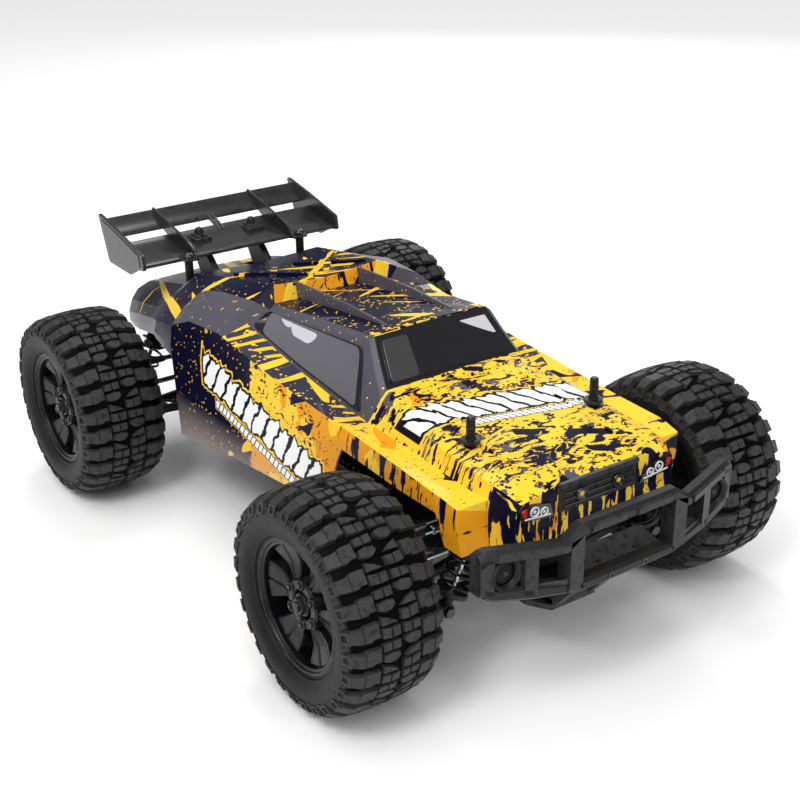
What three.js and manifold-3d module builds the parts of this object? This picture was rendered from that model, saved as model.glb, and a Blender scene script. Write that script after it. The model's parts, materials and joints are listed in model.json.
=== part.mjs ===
// RC desert truggy, 1:10 class, four-wheel drive. Millimetres, +Z up, ground at z = 0.
// +X is the car's left, -Y its front. The bounding box is centred on x = y = 0.
import * as THREE from 'three';
import { mergeVertices } from 'three/addons/utils/BufferGeometryUtils.js';
import Module from 'manifold-3d';

const wasm = await Module();
wasm.setup();

// ---- driving dimensions -------------------------------------------------
const HALF_BASE = 156.15;      // half the wheelbase
const SHIFT_Y = 12.675;         // puts the bounding box centre on the origin
const AXLE_Z = 63.5;           // wheel centre height = tyre radius with lugs
const TYRE_MID = 126.7;        // half track, at the middle of the tyre
const TYRE_HALF = 30.35;       // half the tyre's width
const TREAD_R = 61.3;          // carcass radius between the lugs
const LUGS = 18;               // lugs around one row
const BEAD_R = 37.3;
const RIM_R = 36.9;            // rim barrel under the beads
const LIP_R = 38.4;
const LIP_OUT = 24.2;          // lip face, outboard of the tyre's middle
const SPOKES = 6;
const BOWL_R = 23;             // open back of the rim
const ARM_IN = 28;             // inner hinge line of both arms
const ARM_OUT = 92;            // outer hinge line, and the kingpin
const LOW_Z = 46;              // lower arm hinge height
const UP_Z = 80;               // upper arm hinge height
const PIN_R = 1.6;
const PIN_BORE = 1.85;
const SHOCK_W = 30;            // shock plane, beyond the axle
const SHOCK_TOP = [46, 114];   // upper shock pivot, outboard and up
const SHOCK_LOW = [76, 50];    // lower shock pivot
const WIRE_R = 1.1;
const COIL_R = 8.4;
const COILS = 5;
const CUP_R = 6.6;             // drive cups
const CUP_BORE = 5.4;
const TIE_W = 18.8;            // tie rod plane, behind the front axle
const TIE_Z = 73;
const STEER_ARM = 19.5;        // kingpin to tie rod ball
const PLATE_Z = [36, 39.5];    // chassis plate, bottom and top
const FLOOR = 39.8;            // underside of everything bolted to the plate
const SHAFT_Z = 63.5;          // centre drive shaft height
const SPUR_R = 21.6;
const PINION_R = 6;
const MOTOR = [-27, 70.9];     // motor axis, x and z
const POST = [44, -165.8];     // front body posts, x and y
const REAR_POST = [45.5, 150.5];

// ---- materials ----------------------------------------------------------
const paint = { color: 0x15152f, roughness: 0.35, metalness: 0.0 };
const black = { color: 0x1c1c1e, roughness: 0.55, metalness: 0.0 };
const grey = { color: 0x3a3a3c, roughness: 0.6, metalness: 0.0 };
const rubber = { color: 0x161616, roughness: 0.85, metalness: 0.0 };
const rimBlack = { color: 0x101010, roughness: 0.35, metalness: 0.1 };
const steel = { color: 0x8c8c90, roughness: 0.35, metalness: 0.9 };
const spring = { color: 0x222224, roughness: 0.4, metalness: 0.7 };
const alloy = { color: 0x9a9aa0, roughness: 0.4, metalness: 0.9 };
const wrap = { color: 0x26303a, roughness: 0.45, metalness: 0.0 };

// ---- solids -------------------------------------------------------------
function solid(geometry) {
  let g = geometry.clone();
  g.deleteAttribute('normal');
  if (g.attributes.uv) g.deleteAttribute('uv');
  g = mergeVertices(g, 1e-4);
  const keep = [];
  for (let i = 0; i < g.index.count; i += 3) {
    const [a, b, c] = [0, 1, 2].map((k) => g.index.getX(i + k));
    if (a !== b && b !== c && a !== c) keep.push(a, b, c);
  }
  return new wasm.Manifold(new wasm.Mesh({
    numProp: 3,
    vertProperties: new Float32Array(g.attributes.position.array),
    triVerts: new Uint32Array(keep),
  }));
}

function join(...parts) {
  return parts.reduce((a, b) => a.add(b));
}

function cut(body, ...tools) {
  return tools.reduce((a, b) => a.subtract(b), body);
}

function box(x0, x1, y0, y1, z0, z1) {
  const g = new THREE.BoxGeometry(x1 - x0, y1 - y0, z1 - z0);
  return solid(g.translate((x0 + x1) / 2, (y0 + y1) / 2, (z0 + z1) / 2));
}

// A round bar along one axis, from a to b, through the point given by the other two.
function bar(axis, r, a, b, p, q, sides = 8, r2 = r) {
  const g = new THREE.CylinderGeometry(r2, r, b - a, sides);
  g.rotateY(Math.PI / sides);
  const mid = (a + b) / 2;
  if (axis === 'x') return solid(g.rotateZ(-Math.PI / 2).translate(mid, p, q));
  if (axis === 'y') return solid(g.translate(p, mid, q));
  return solid(g.rotateX(Math.PI / 2).translate(p, q, mid));
}

// A round bar between two points.
function rod(from, to, r, sides = 8, r2 = r) {
  const a = new THREE.Vector3(...from);
  const b = new THREE.Vector3(...to);
  const g = new THREE.CylinderGeometry(r2, r, a.distanceTo(b), sides);
  const turn = new THREE.Quaternion().setFromUnitVectors(
    new THREE.Vector3(0, 1, 0), b.clone().sub(a).normalize());
  g.applyQuaternion(turn).translate(...a.add(b).multiplyScalar(0.5).toArray());
  return solid(g);
}

function ball(r, x, y, z) {
  return solid(new THREE.SphereGeometry(r, 8, 5).translate(x, y, z));
}

// A flat outline given in two axes, extruded along the third from a to b.
function slab(axis, points, a, b, holes = []) {
  const shape = new THREE.Shape(points.map((p) => new THREE.Vector2(...p)));
  for (const h of holes) shape.holes.push(new THREE.Path(h.map((p) => new THREE.Vector2(...p))));
  const g = new THREE.ExtrudeGeometry(shape, { depth: b - a, bevelEnabled: false });
  g.translate(0, 0, a);
  if (axis === 'z') return solid(g);
  if (axis === 'x') {
    g.applyMatrix4(new THREE.Matrix4().set(0, 0, 1, 0, 1, 0, 0, 0, 0, 1, 0, 0, 0, 0, 0, 1));
    return solid(g);
  }
  // y: the outline is in x and z, so one axis is turned over to keep the faces outward
  g.applyMatrix4(new THREE.Matrix4().set(1, 0, 0, 0, 0, 0, -1, a + b, 0, 1, 0, 0, 0, 0, 0, 1));
  return solid(g);
}

// A closed outline of [along x, radius], turned about an x axis at the wheel's centre.
function turned(points, sides, y = 0, z = AXLE_Z) {
  const g = new THREE.LatheGeometry(points.map(([u, r]) => new THREE.Vector2(r, u)), sides);
  g.rotateZ(-Math.PI / 2);
  let s = solid(g.translate(0, y, z));
  if (s.volume() < 0 || s.status() !== 'NoError') s = solid(flip(g));
  return s;
}

function flip(geometry) {
  const g = geometry.clone();
  const at = g.index.array;
  for (let i = 0; i < at.length; i += 3) [at[i], at[i + 1]] = [at[i + 1], at[i]];
  return g;
}

// Skins a row of closed sections, each a list of [x, y, z] in the same order. The end faces
// are filled in the plane of the two axes named, or left out when the row closes on itself.
function skin(sections, plane = [0, 2]) {
  const n = sections[0].length;
  const points = sections.flat(2);
  const tris = [];
  for (let s = 0; s + 1 < sections.length; s++) {
    for (let i = 0; i < n; i++) {
      const [a, b] = [s * n + i, s * n + ((i + 1) % n)];
      tris.push(a, b, b + n, a, b + n, a + n);
    }
  }
  const last = (sections.length - 1) * n;
  const cap = (section, base, forward) => {
    const flat = section.map((p) => new THREE.Vector2(p[plane[0]], p[plane[1]]));
    const faces = THREE.ShapeUtils.triangulateShape(flat, []);
    const along = faces.some((f) => f.some((v, k) => (v + 1) % n === f[(k + 1) % 3]));
    for (const [a, b, c] of faces) {
      tris.push(...(along === forward ? [a, b, c] : [a, c, b]).map((v) => v + base));
    }
  };
  if (plane) {
    cap(sections[0], 0, false);
    cap(sections.at(-1), last, true);
  }
  const g = new THREE.BufferGeometry();
  g.setAttribute('position', new THREE.Float32BufferAttribute(points, 3));
  g.setIndex(tris);
  g.computeVertexNormals();
  let s = solid(g);
  if (s.status() !== 'NoError' || s.volume() < 0) s = solid(flip(g));
  return s;
}

const group = new THREE.Group();

// Adds a node. side -1 mirrors it to the right, end -1 mirrors it to the front.
function add(name, body, look, side = 1, end = 1) {
  const m = body.getMesh();
  const g = new THREE.BufferGeometry();
  g.setAttribute('position', new THREE.Float32BufferAttribute(m.vertProperties, 3));
  g.setIndex([...m.triVerts]);
  g.scale(side, end, 1);
  g.translate(0, SHIFT_Y, 0);
  const made = side * end < 0 ? flip(g) : g;
  made.computeVertexNormals();
  const mesh = new THREE.Mesh(made, new THREE.MeshStandardMaterial(look));
  mesh.name = name;
  group.add(mesh);
}

// Moves a corner part from its own axle (y = 0) out to the axle line.
function out(body) {
  return body.translate([0, HALF_BASE, 0]);
}

// ---- wheel --------------------------------------------------------------
// The tread's two rows of lugs are half a lug apart.
function tyre() {
  const half = [[16.5, BEAD_R], [20.5, BEAD_R], [20.5, 39], [TYRE_HALF, 50], [27.3, 60.8],
    [15, 1], [2.5, 1], [-2.5, 2], [-15, 2], [-27.3, 60.8], [-TYRE_HALF, 50], [-20.5, 39],
    [-20.5, BEAD_R], [-16.5, BEAD_R], [-26, 50], [-22.5, 57.8], [22.5, 57.8], [26, 50]];
  const sections = [];
  for (let i = 0; i < 2 * LUGS; i++) {
    const at = (i * Math.PI) / LUGS;
    sections.push(half.map(([u, r]) => {
      const radius = r > 2 ? r : (i + r) % 2 ? AXLE_Z : TREAD_R;
      return [TYRE_MID + u, radius * Math.cos(at), AXLE_Z + radius * Math.sin(at)];
    }));
  }
  return skin([...sections, sections[0]], null);
}

function rim() {
  const m = TYRE_MID;
  const lip = [LIP_OUT - 3.4, LIP_OUT];
  let body = turned([[118, 0], [118, BOWL_R], [m - LIP_OUT, BOWL_R], [m - LIP_OUT, LIP_R],
    [m - lip[0], LIP_R], [m - lip[0], RIM_R], [m + lip[0], RIM_R], [m + lip[0], LIP_R],
    [m + LIP_OUT, LIP_R], [m + LIP_OUT, 34.6], [m + 20.7, 34], [m + 20.7, 0]], 24);
  for (let i = 0; i < SPOKES; i++) {
    const at = ((i + 0.5) * 2 * Math.PI) / SPOKES;
    const pocket = [];
    for (const [r, t] of [[13.5, -0.2], [32, -0.34], [32, 0.34], [13.5, 0.2]]) {
      pocket.push([r * Math.cos(at + t), AXLE_Z + r * Math.sin(at + t)]);
    }
    body = cut(body, slab('x', pocket, 121, 160));
  }
  return join(body,
    cut(bar('x', CUP_R, 85.5, 101.5, 0, AXLE_Z, 12), bar('x', CUP_BORE, 80, 98.5, 0, AXLE_Z, 12)),
    bar('x', 3.5, 101, 105, 0, AXLE_Z), bar('x', 8, 104, 119, 0, AXLE_Z, 6),
    bar('x', 9.5, 146, 149, 0, AXLE_Z), bar('x', 5.2, 148, 153.5, 0, AXLE_Z, 6));
}

// ---- suspension corner --------------------------------------------------
function lowerArm() {
  const plate = slab('z', [[ARM_IN, -19], [86, -9.5], [86, 9.5], [82, 10.2], [82, 23.5],
    [70, 23.5], [70, 12.1], [ARM_IN, 19]], 42.5, 47, [[[38, -9], [72, -4.5], [72, 4.5], [38, 9]]]);
  let body = join(plate, bar('y', 4.4, -20, 20, ARM_IN, LOW_Z),
    box(71.5, 80.5, 19.5, 23.5, 43, 54.5),
    box(84, 95.5, 6.4, 9.8, 42.5, 48.6), box(84, 95.5, -9.8, -6.4, 42.5, 48.6),
    bar('y', PIN_R, -9.8, 9.8, ARM_OUT, LOW_Z),
    bar('y', PIN_R, 23, 36, ...SHOCK_LOW), bar('y', 3, 34.4, 36, ...SHOCK_LOW));
  return out(cut(body, bar('y', PIN_BORE, -30, 30, ARM_IN, LOW_Z)));
}

function upperArm() {
  const body = join(box(ARM_IN, ARM_OUT, -3.4, 3.4, 78, 82), bar('y', 3.8, -9, 9, ARM_IN, UP_Z),
    bar('y', 3.8, -3.8, 3.8, ARM_OUT, UP_Z));
  return out(cut(body, bar('y', PIN_BORE, -30, 30, ARM_IN, UP_Z),
    bar('y', PIN_BORE, -30, 30, ARM_OUT, UP_Z)));
}

// Upright between the two outer hinges, open in the middle for the drive shaft.
function upright() {
  const web = cut(box(79.5, 83, -11, 11, 50, 75.9), box(70, 90, -8, 8, 55, 72));
  return join(web, box(79.5, 97, -6, 6, 49.8, 53.2), box(79.5, 97, -6, 6, 73.4, 75.9),
    cut(join(bar('y', 3.8, -5.9, 5.9, ARM_OUT, LOW_Z), box(89, 95, -5.9, 5.9, 47, 50.5)),
      bar('y', PIN_BORE, -30, 30, ARM_OUT, LOW_Z)),
    box(88.5, 95.5, 4.3, 7.2, 74.5, 84), box(88.5, 95.5, -7.2, -4.3, 74.5, 84),
    bar('y', PIN_R, -7.2, 7.2, ARM_OUT, UP_Z));
}

function bearingRing() {
  return cut(bar('x', 9.6, 88, 98, 0, AXLE_Z, 12), bar('x', 7.2, 80, 110, 0, AXLE_Z, 12));
}

function cHub() {
  return out(cut(upright(), bar('z', 2.1, 40, 55, ARM_OUT, 0), bar('z', 2.1, 72, 77.5, ARM_OUT, 0)));
}

function rearCarrier() {
  return out(join(upright(), cut(join(box(86, 98, -9.6, 9.6, 52, 75), box(80, 90, -11, -7.8, 55, 72),
    box(80, 90, 7.8, 11, 55, 72)), bar('x', 7.2, 80, 110, 0, AXLE_Z, 12))));
}

function knuckle() {
  const pins = cut(bar('z', 1.85, 50.4, 75.7, ARM_OUT, 0), bar('x', 7.2, 80, 110, 0, AXLE_Z, 12));
  return out(join(bearingRing(), pins, box(89.5, 94.5, -STEER_ARM - 2.6, -8, 66.5, 69.6),
    bar('z', 1.5, 69, 76.5, ARM_OUT, -STEER_ARM), bar('z', 2.6, 76.2, 77.4, ARM_OUT, -STEER_ARM)));
}

function driveShaft() {
  return out(join(bar('x', 1.8, 22.5, 91.5, 0, AXLE_Z), ball(3.2, 22.5, 0, AXLE_Z),
    ball(3.2, 91.5, 0, AXLE_Z)));
}

const SHOCK_L = Math.hypot(SHOCK_LOW[0] - SHOCK_TOP[0], SHOCK_LOW[1] - SHOCK_TOP[1]);
const SHOCK_DIR = [(SHOCK_LOW[0] - SHOCK_TOP[0]) / SHOCK_L, (SHOCK_LOW[1] - SHOCK_TOP[1]) / SHOCK_L];

// A point on the shock's axis, s from the upper pivot.
function onShock(s) {
  return [SHOCK_TOP[0] + SHOCK_DIR[0] * s, SHOCK_W, SHOCK_TOP[1] + SHOCK_DIR[1] * s];
}

function along(r, a, b, sides = 10, r2 = r) {
  return rod(onShock(a), onShock(b), r, sides, r2);
}

function shockBody() {
  const body = join(bar('y', 4.4, SHOCK_W - 3.5, SHOCK_W + 3.5, ...SHOCK_TOP),
    along(4, 2, 8), along(6.3, 5, 40), along(9.2, 12, 14));
  return out(cut(body, bar('y', PIN_BORE, 0, 60, ...SHOCK_TOP), along(1.9, 10, 45)));
}

function shockRod() {
  const eye = bar('y', 4.2, SHOCK_W - 3.5, SHOCK_W + 3.5, ...SHOCK_LOW);
  return out(cut(join(eye, along(1.5, 20, 68), along(9.2, 59.5, 62), along(2.8, 61, 67.6)),
    bar('y', 2.5, 0, 60, ...SHOCK_LOW)));
}

class Helix extends THREE.Curve {
  getPoint(t, target = new THREE.Vector3()) {
    const s = 15.8 + t * (57.8 - 15.8);
    const turn = t * COILS * 2 * Math.PI;
    const [x, y, z] = onShock(s);
    const across = COIL_R * Math.cos(turn);
    return target.set(x - SHOCK_DIR[1] * across, y + COIL_R * Math.sin(turn),
      z + SHOCK_DIR[0] * across);
  }
}

function coilSpring() {
  const section = new THREE.Shape([[1, 0], [0, 1], [-1, 0], [0, -1]].map(
    ([a, b]) => new THREE.Vector2(a * WIRE_R, b * WIRE_R)));
  return out(solid(new THREE.ExtrudeGeometry(section,
    { steps: COILS * 8, extrudePath: new Helix() })));
}

for (const [end, place] of [[-1, 'front'], [1, 'rear']]) {
  for (const [side, hand] of [[1, 'left'], [-1, 'right']]) {
    const tag = `${place}_${hand}`;
    add(`${tag}_tyre`, out(tyre()), rubber, side, end);
    add(`${tag}_rim`, out(rim()), rimBlack, side, end);
    add(`${tag}_lower_arm`, lowerArm(), black, side, end);
    add(`${tag}_upper_arm`, upperArm(), black, side, end);
    add(`${tag}_${end < 0 ? 'c_hub' : 'hub_carrier'}`, end < 0 ? cHub() : rearCarrier(), black,
      side, end);
    if (end < 0) add(`${tag}_knuckle`, knuckle(), black, side, end);
    add(`${tag}_drive_shaft`, driveShaft(), steel, side, end);
    add(`${tag}_shock_body`, shockBody(), black, side, end);
    add(`${tag}_shock_rod`, shockRod(), steel, side, end);
    add(`${tag}_spring`, coilSpring(), spring, side, end);
  }
}

// ---- gearboxes, towers and differentials, the same at both ends ----------
function gearbox() {
  const ears = [];
  for (const x of [-1, 1]) {
    const span = (a, b) => (x > 0 ? [a, b] : [-b, -a]);
    for (const w of [-24, 20.4]) ears.push(box(...span(16, 33), w, w + 3.6, FLOOR, 51));
    for (const w of [-12.5, 9.4]) ears.push(box(...span(14, 32), w, w + 3.1, 76, 84));
    ears.push(bar('y', PIN_R, -24, 24, x * ARM_IN, LOW_Z), bar('y', PIN_R, -12, 12, x * ARM_IN, UP_Z));
  }
  return out(join(
    cut(join(box(-17, 17, -14, 15.7, 42, 84), box(-21, 21, -24, 24, FLOOR, 43)),
      bar('x', 13, -14.5, 14.5, 0, AXLE_Z, 12), bar('x', 7.2, -30, 30, 0, AXLE_Z, 12),
      bar('y', 3.6, -30, -5, 0, SHAFT_Z)),
    ...ears));
}

function differential() {
  const cup = (a, b, c) => cut(bar('x', CUP_R, a, b, 0, AXLE_Z, 12),
    bar('x', CUP_BORE, c, c > 0 ? 30 : -16.3, 0, AXLE_Z, 12));
  return out(join(bar('x', 10, -6, 6, 0, AXLE_Z, 20), bar('x', 4, -15, 15, 0, AXLE_Z),
    cup(14.6, 27, 16.3), cup(-27, -14.6, -30)));
}

function tower() {
  const half = [[18, 43.4], [18, 84], [27, 96], [38, 106], [52, 109], [52, 117], [46, 119.4],
    [30, 119.4], [22, 112]];
  const shape = [...half, ...half.map(([x, z]) => [-x, z]).reverse()];
  const windows = [[[-11, 50], [11, 50], [11, 76], [-11, 76]],
    [[-13, 88], [13, 88], [18, 104], [-18, 104]]];
  const pins = [-1, 1].flatMap((x) => [
    bar('y', PIN_R, 19, 36, x * SHOCK_TOP[0], SHOCK_TOP[1]),
    bar('y', 3, 34.4, 36, x * SHOCK_TOP[0], SHOCK_TOP[1])]);
  return out(join(slab('y', shape, 16, 20, windows), ...pins));
}

for (const [end, place] of [[-1, 'front'], [1, 'rear']]) {
  add(`${place}_gearbox`, gearbox(), black, 1, end);
  add(`${place}_differential`, differential(), steel, 1, end);
  add(`${place}_shock_tower`, tower(), black, 1, end);
}

// ---- chassis and what is bolted to it ------------------------------------
const halfPlate = [[16, -205], [24, -192], [24, -122], [56, -92], [58, 88], [24, 122], [24, 188],
  [16, 200]];
const bracket = cut(box(-48, 8, 74.6, 77.6, 38, 92), bar('y', 7, 70, 80, ...MOTOR, 16),
  bar('y', 3.5, 70, 80, 0, SHAFT_Z));
add('chassis_plate', join(
  slab('z', [...halfPlate, ...halfPlate.map(([x, y]) => [-x, y]).reverse()], ...PLATE_Z),
  box(56, 58.5, -88, 84, 38, 44), box(-58.5, -56, -88, 84, 38, 44), bracket), black);

add('motor', join(bar('y', 18, 20, 74.3, ...MOTOR, 24), bar('y', 5.5, 74, 77.6, ...MOTOR),
  bar('y', 1.6, 77, 86, ...MOTOR), bar('y', 5, 15, 20, ...MOTOR)), alloy);

function gear(r, teeth, depth, a, b, x, z, bore, offset = 0) {
  const shape = [];
  for (let i = 0; i < teeth; i++) {
    for (const [t, rr] of [[-0.34, r - depth], [-0.14, r + depth], [0.14, r + depth],
      [0.34, r - depth]]) {
      const at = ((i + t + offset) * 2 * Math.PI) / teeth;
      shape.push([x + rr * Math.cos(at), z + rr * Math.sin(at)]);
    }
  }
  const body = slab('y', shape, a, b);
  return bore ? cut(body, bar('y', bore, a - 5, b + 5, x, z)) : body;
}

const SPUR_TEETH = 29;
const PINION_TEETH = 8;
const MESH = Math.atan2(SHAFT_Z - MOTOR[1], -MOTOR[0]);
add('motor_pinion', gear(PINION_R, PINION_TEETH, 0.9, 79, 84.5, ...MOTOR, 1.8,
  (MESH * PINION_TEETH) / (2 * Math.PI)), steel);
add('centre_drive', join(
  gear(SPUR_R, SPUR_TEETH, 0.9, 79.5, 84, 0, SHAFT_Z, 0,
    ((MESH + Math.PI) * SPUR_TEETH) / (2 * Math.PI) + 0.5),
  bar('y', 3, -145, 145, 0, SHAFT_Z)), black);

add('battery', cut(box(6, 52, -64, 72, FLOOR, 65), box(5, 53, -10, 10, 63, 66)), wrap);
add('speed_controller', join(box(-50, -8, -62, -8, FLOOR, 60), box(-44, -14, -56, -14, 60, 66)), black);

// ---- steering -------------------------------------------------------------
const HORN_Y = -HALF_BASE + 41;
add('steering_servo', join(box(5.5, 26.5, -127, -87, FLOOR, 70), box(5.5, 26.5, -125, -89, 70, 76),
  box(5.5, 26.5, -134, -80, 60, 62.5)), black);
add('servo_horn', join(bar('z', 4.2, 76.3, 80, 16, HORN_Y), box(13.2, 18.8, HORN_Y - STEER_ARM - 2.5,
  HORN_Y, 77, 80), bar('z', 1.5, 70, 78, 16, HORN_Y - STEER_ARM)), grey);

function steeringLink() {
  const pins = [-1, 1].flatMap((x) => [bar('y', PIN_R, -21.6, -16, x * ARM_IN, TIE_Z)]);
  const tab = cut(box(10.5, 21.5, -27, -16, 71, 75), box(14.2, 17.8, -25.6, -18.6, 70, 76));
  return join(box(-33, 33, -16.5, -14.5, 70, 76), tab, ...pins).mirror([0, 1, 0])
    .translate([0, -HALF_BASE, 0]);
}

add('steering_link', steeringLink(), black);

function tieRod() {
  const inner = cut(bar('y', 3.4, -20.6, -17, ARM_IN, TIE_Z), bar('y', PIN_BORE, -30, 0, ARM_IN, TIE_Z));
  const eye = cut(join(bar('z', 4.4, 71, 75, ARM_OUT, -TIE_W), bar('x', 1.7, 86, 89, -TIE_W, TIE_Z)),
    bar('z', 2.7, 60, 90, ARM_OUT, -TIE_W));
  return out(join(inner, eye, bar('x', 1.7, ARM_IN + 2.6, 88.8, -TIE_W, TIE_Z),
    bar('x', 2.8, 52, 68, -TIE_W, TIE_Z, 6)));
}

add('tie_rod_left', tieRod(), steel, 1, -1);
add('tie_rod_right', tieRod(), steel, -1, -1);

// ---- body posts and wing mount --------------------------------------------
const posts = [-1, 1].flatMap((x) => [bar('z', 2.5, 104, 147.5, x * POST[0], POST[1]),
  bar('z', 5.5, 132.4, 134.8, x * POST[0], POST[1])]);
add('front_body_posts', join(box(-47, 47, -170.5, -161, 100, 106), box(-8, 8, -170.5, -161, 84.3, 101),
  ...posts), black);

const armSide = [[147, 100], [158, 100], [164, 112], [170.6, 121.5], [182, 140], [188, 149],
  [188, 151.2], [175, 151.2], [165, 145], [155, 136], [148, 118]];
const mounts = [-1, 1].flatMap((x) => [
  slab('x', armSide, x > 0 ? 19 : -24, x > 0 ? 24 : -19),
  box(x > 0 ? 15 : -28, x > 0 ? 28 : -15, 175, 188, 148.6, 151.2),
  bar('z', 3, 104, 149.3, x * REAR_POST[0], REAR_POST[1])]);
add('wing_mount', join(box(-48.5, 48.5, 146, 155, 100, 106), box(-8, 8, 146, 155, 84.3, 101),
  ...mounts), black);

// ---- wing -----------------------------------------------------------------
function wing() {
  const main = [[155, 148.4], [156, 150.6], [164, 152.6], [176, 153.8], [186, 156], [190.4, 158],
    [191.2, 156.2], [187, 153.6], [176, 151.5], [165, 150.2], [157, 148.2]];
  const flap = [[200.6, 159], [199.9, 161.6], [207, 165.4], [214.5, 170.6], [216, 169.2], [208, 162.8]];
  const plate = [[219.6, 173.6], [214, 173], [152.1, 159], [150.3, 148.7], [160, 147.2], [173.3, 140.2],
    [207.7, 141]];
  const fin = [[150, 149.6], [149, 153], [158, 158.5], [196, 168], [214.5, 172.6], [215.5, 169.4],
    [197, 157.8], [176, 151.5], [158, 148.4]];
  const parts = [slab('x', main, -78, 78), slab('x', flap, -78, 78), slab('x', plate, 77.6, 80.3),
    slab('x', plate, -80.3, -77.6)];
  for (const x of [-1, 1]) {
    parts.push(slab('x', fin, x > 0 ? 38.4 : -40.6, x > 0 ? 40.6 : -38.4));
    parts.push(box(x > 0 ? 39 : -50, x > 0 ? 50 : -39, 146.5, 160, 149.7, 151.6));
    parts.push(bar('z', 3.4, 151, 154.6, x * REAR_POST[0], REAR_POST[1], 10));
    parts.push(box(x > 0 ? 15 : -28, x > 0 ? 28 : -15, 172, 186, 151.5, 156.6));
    parts.push(bar('z', 3.4, 156, 160, x * 21.5, 179, 10));
  }
  return join(...parts);
}

add('wing', wing(), grey);

// ---- bumper ----------------------------------------------------------------
function bumper() {
  const sweep = (x) => (Math.abs(x) < 44 ? 0 : (Math.abs(x) - 44) * 0.3);
  const rail = (stations, depth) => skin(stations.map(([x, z0, z1, back = 0]) => {
    const y = -245 + sweep(x) + back;
    return [[x, y, z0], [x, y + depth, z0], [x, y + depth, z1], [x, y, z1]];
  }), [1, 2]);
  const top = [[-89, 97, 108], [-84, 101, 110], [-46, 99, 107], [-43, 99, 107], [-33, 106, 114],
    [33, 106, 114], [43, 99, 107], [46, 99, 107], [84, 101, 110], [89, 97, 108]];
  const low = [[-86, 82, 90], [-82, 80, 88], [-60, 77, 85], [-33, 74, 81], [33, 74, 81],
    [60, 77, 85], [82, 80, 88], [86, 82, 90]];
  const pieces = [rail(top, 9), rail(low, 9)];
  for (const x of [-1, 1]) {
    pieces.push(rail([[33, 75, 110], [40, 76, 108]].map(([a, b, c]) => [x * a, b, c]).sort(
      (p, q) => p[0] - q[0]), 10));
    pieces.push(rail([[60, 78, 106], [65, 79, 106]].map(([a, b, c]) => [x * a, b, c]).sort(
      (p, q) => p[0] - q[0]), 10));
    pieces.push(rail([[82, 82, 107], [89, 84, 106]].map(([a, b, c]) => [x * a, b, c]).sort(
      (p, q) => p[0] - q[0]), 9));
    pieces.push(rail([[64, 79, 106, 7], [84, 82, 106, 7]].map(([a, b, c, d]) => [x * a, b, c, d]).sort(
      (p, q) => p[0] - q[0]), 3));
    pieces.push(cut(slab('x', [[-237, 80], [-236, 74], [-207, FLOOR], [-192, FLOOR], [-192, 43],
      [-203, 43]], x > 0 ? 10 : -16, x > 0 ? 16 : -10)));
  }
  return join(...pieces, box(-16, 16, -205, -192, FLOOR, 43));
}

add('front_bumper', bumper(), grey);

// ---- body shell --------------------------------------------------------------
// Each station: y, then half a section from the top centre out and down to the lower edge.
const stations = [
  [-218, [0, 124], [30, 123.6], [52, 119.5], [55, 117], [56, 111], [55, 100], [52, 90]],
  [-212, [0, 125.6], [42, 125.2], [55, 123], [57.5, 117], [58, 111], [57, 100], [54, 88]],
  [-200.5, [0, 127], [47, 126.5], [56, 124.6], [58.5, 117], [59.5, 111], [59.5, 100], [58, 88]],
  [-199.5, [0, 127.1], [47, 126.6], [56, 124.7], [59, 116.6], [78.6, 116.8], [79, 107], [75.6, 88]],
  [-188, [0, 128.3], [48, 127.8], [56.2, 125.6], [59.6, 116.4], [79.6, 119.2], [80, 108], [78, 90]],
  [-184, [0, 128.8], [48.2, 128.2], [56.2, 125.8], [59.8, 116.8], [80, 119.6], [81, 114], [81, 109.5]],
  [-150, [0, 132.4], [49, 131.8], [55.5, 128.6], [60, 118.6], [79.5, 121.4], [80.6, 115], [81, 109]],
  [-112, [0, 136.6], [49.5, 136], [54, 132], [60.4, 120.4], [79.5, 123.8], [81, 117], [81.4, 111]],
  [-98, [0, 138.2], [49, 137.6], [53, 133], [61, 121.2], [79.8, 124.8], [82.2, 118], [82.6, 112.5]],
  [-94, [0, 138.8], [48.5, 138.2], [52.6, 134], [61.2, 121.6], [80, 125], [82.8, 117], [83.2, 104]],
  [-82, [0, 151], [44.6, 150.6], [48.6, 147], [61.4, 122.2], [80.3, 125.6], [83.8, 112], [84.4, 71]],
  [-71.5, [0, 163], [41, 162.4], [44.4, 160], [61.6, 122.8], [80.6, 126.2], [84.4, 110], [85, 69]],
  [-20, [0, 158], [42, 157.4], [45.6, 154.6], [62.4, 130], [81.4, 130], [85.4, 112], [86, 63.5]],
  [38, [0, 151], [42.6, 150.4], [47, 147.4], [63.6, 141.6], [82, 137], [86, 114], [86.5, 57]],
  [42, [0, 158.4], [40.4, 161.6], [56, 154], [72, 146.4], [82.4, 138], [86.2, 114], [86.5, 56.6]],
  [78, [0, 153.4], [44, 155.8], [60, 151], [74, 147], [84.6, 136], [87.4, 114], [87, 50]],
  [98, [0, 150], [46, 152.2], [62, 146], [76, 138.6], [86, 128], [88, 114], [87, 48]],
  [101, [0, 149.6], [46.4, 151.8], [62.4, 145], [76.4, 137], [86.4, 126], [88.4, 112], [87.6, 103.6]],
  [132, [0, 144], [48.9, 146], [63, 137], [75, 128], [83, 119], [85, 112], [84, 106.5]],
  [146, [0, 133], [49, 134], [62, 129.6], [73, 123], [79, 116], [80, 109], [79, 104]],
  [190, [0, 124.6], [49, 124], [60, 120], [68, 113], [71.4, 105], [72, 98], [70, 92]],
  [214, [0, 119], [48, 117.6], [57.6, 113.6], [63, 106.6], [66, 98], [66, 91], [63.4, 86]],
  [217, [0, 117.6], [46, 116], [55.6, 112], [61, 105.6], [64, 98], [64, 91], [61.4, 87]],
];
const WALL = 2;

function ring(y, half) {
  return [...half.map(([x, z]) => [x, y, z]), ...half.slice(1).map(([x, z]) => [-x, y, z]).reverse()];
}

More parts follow.
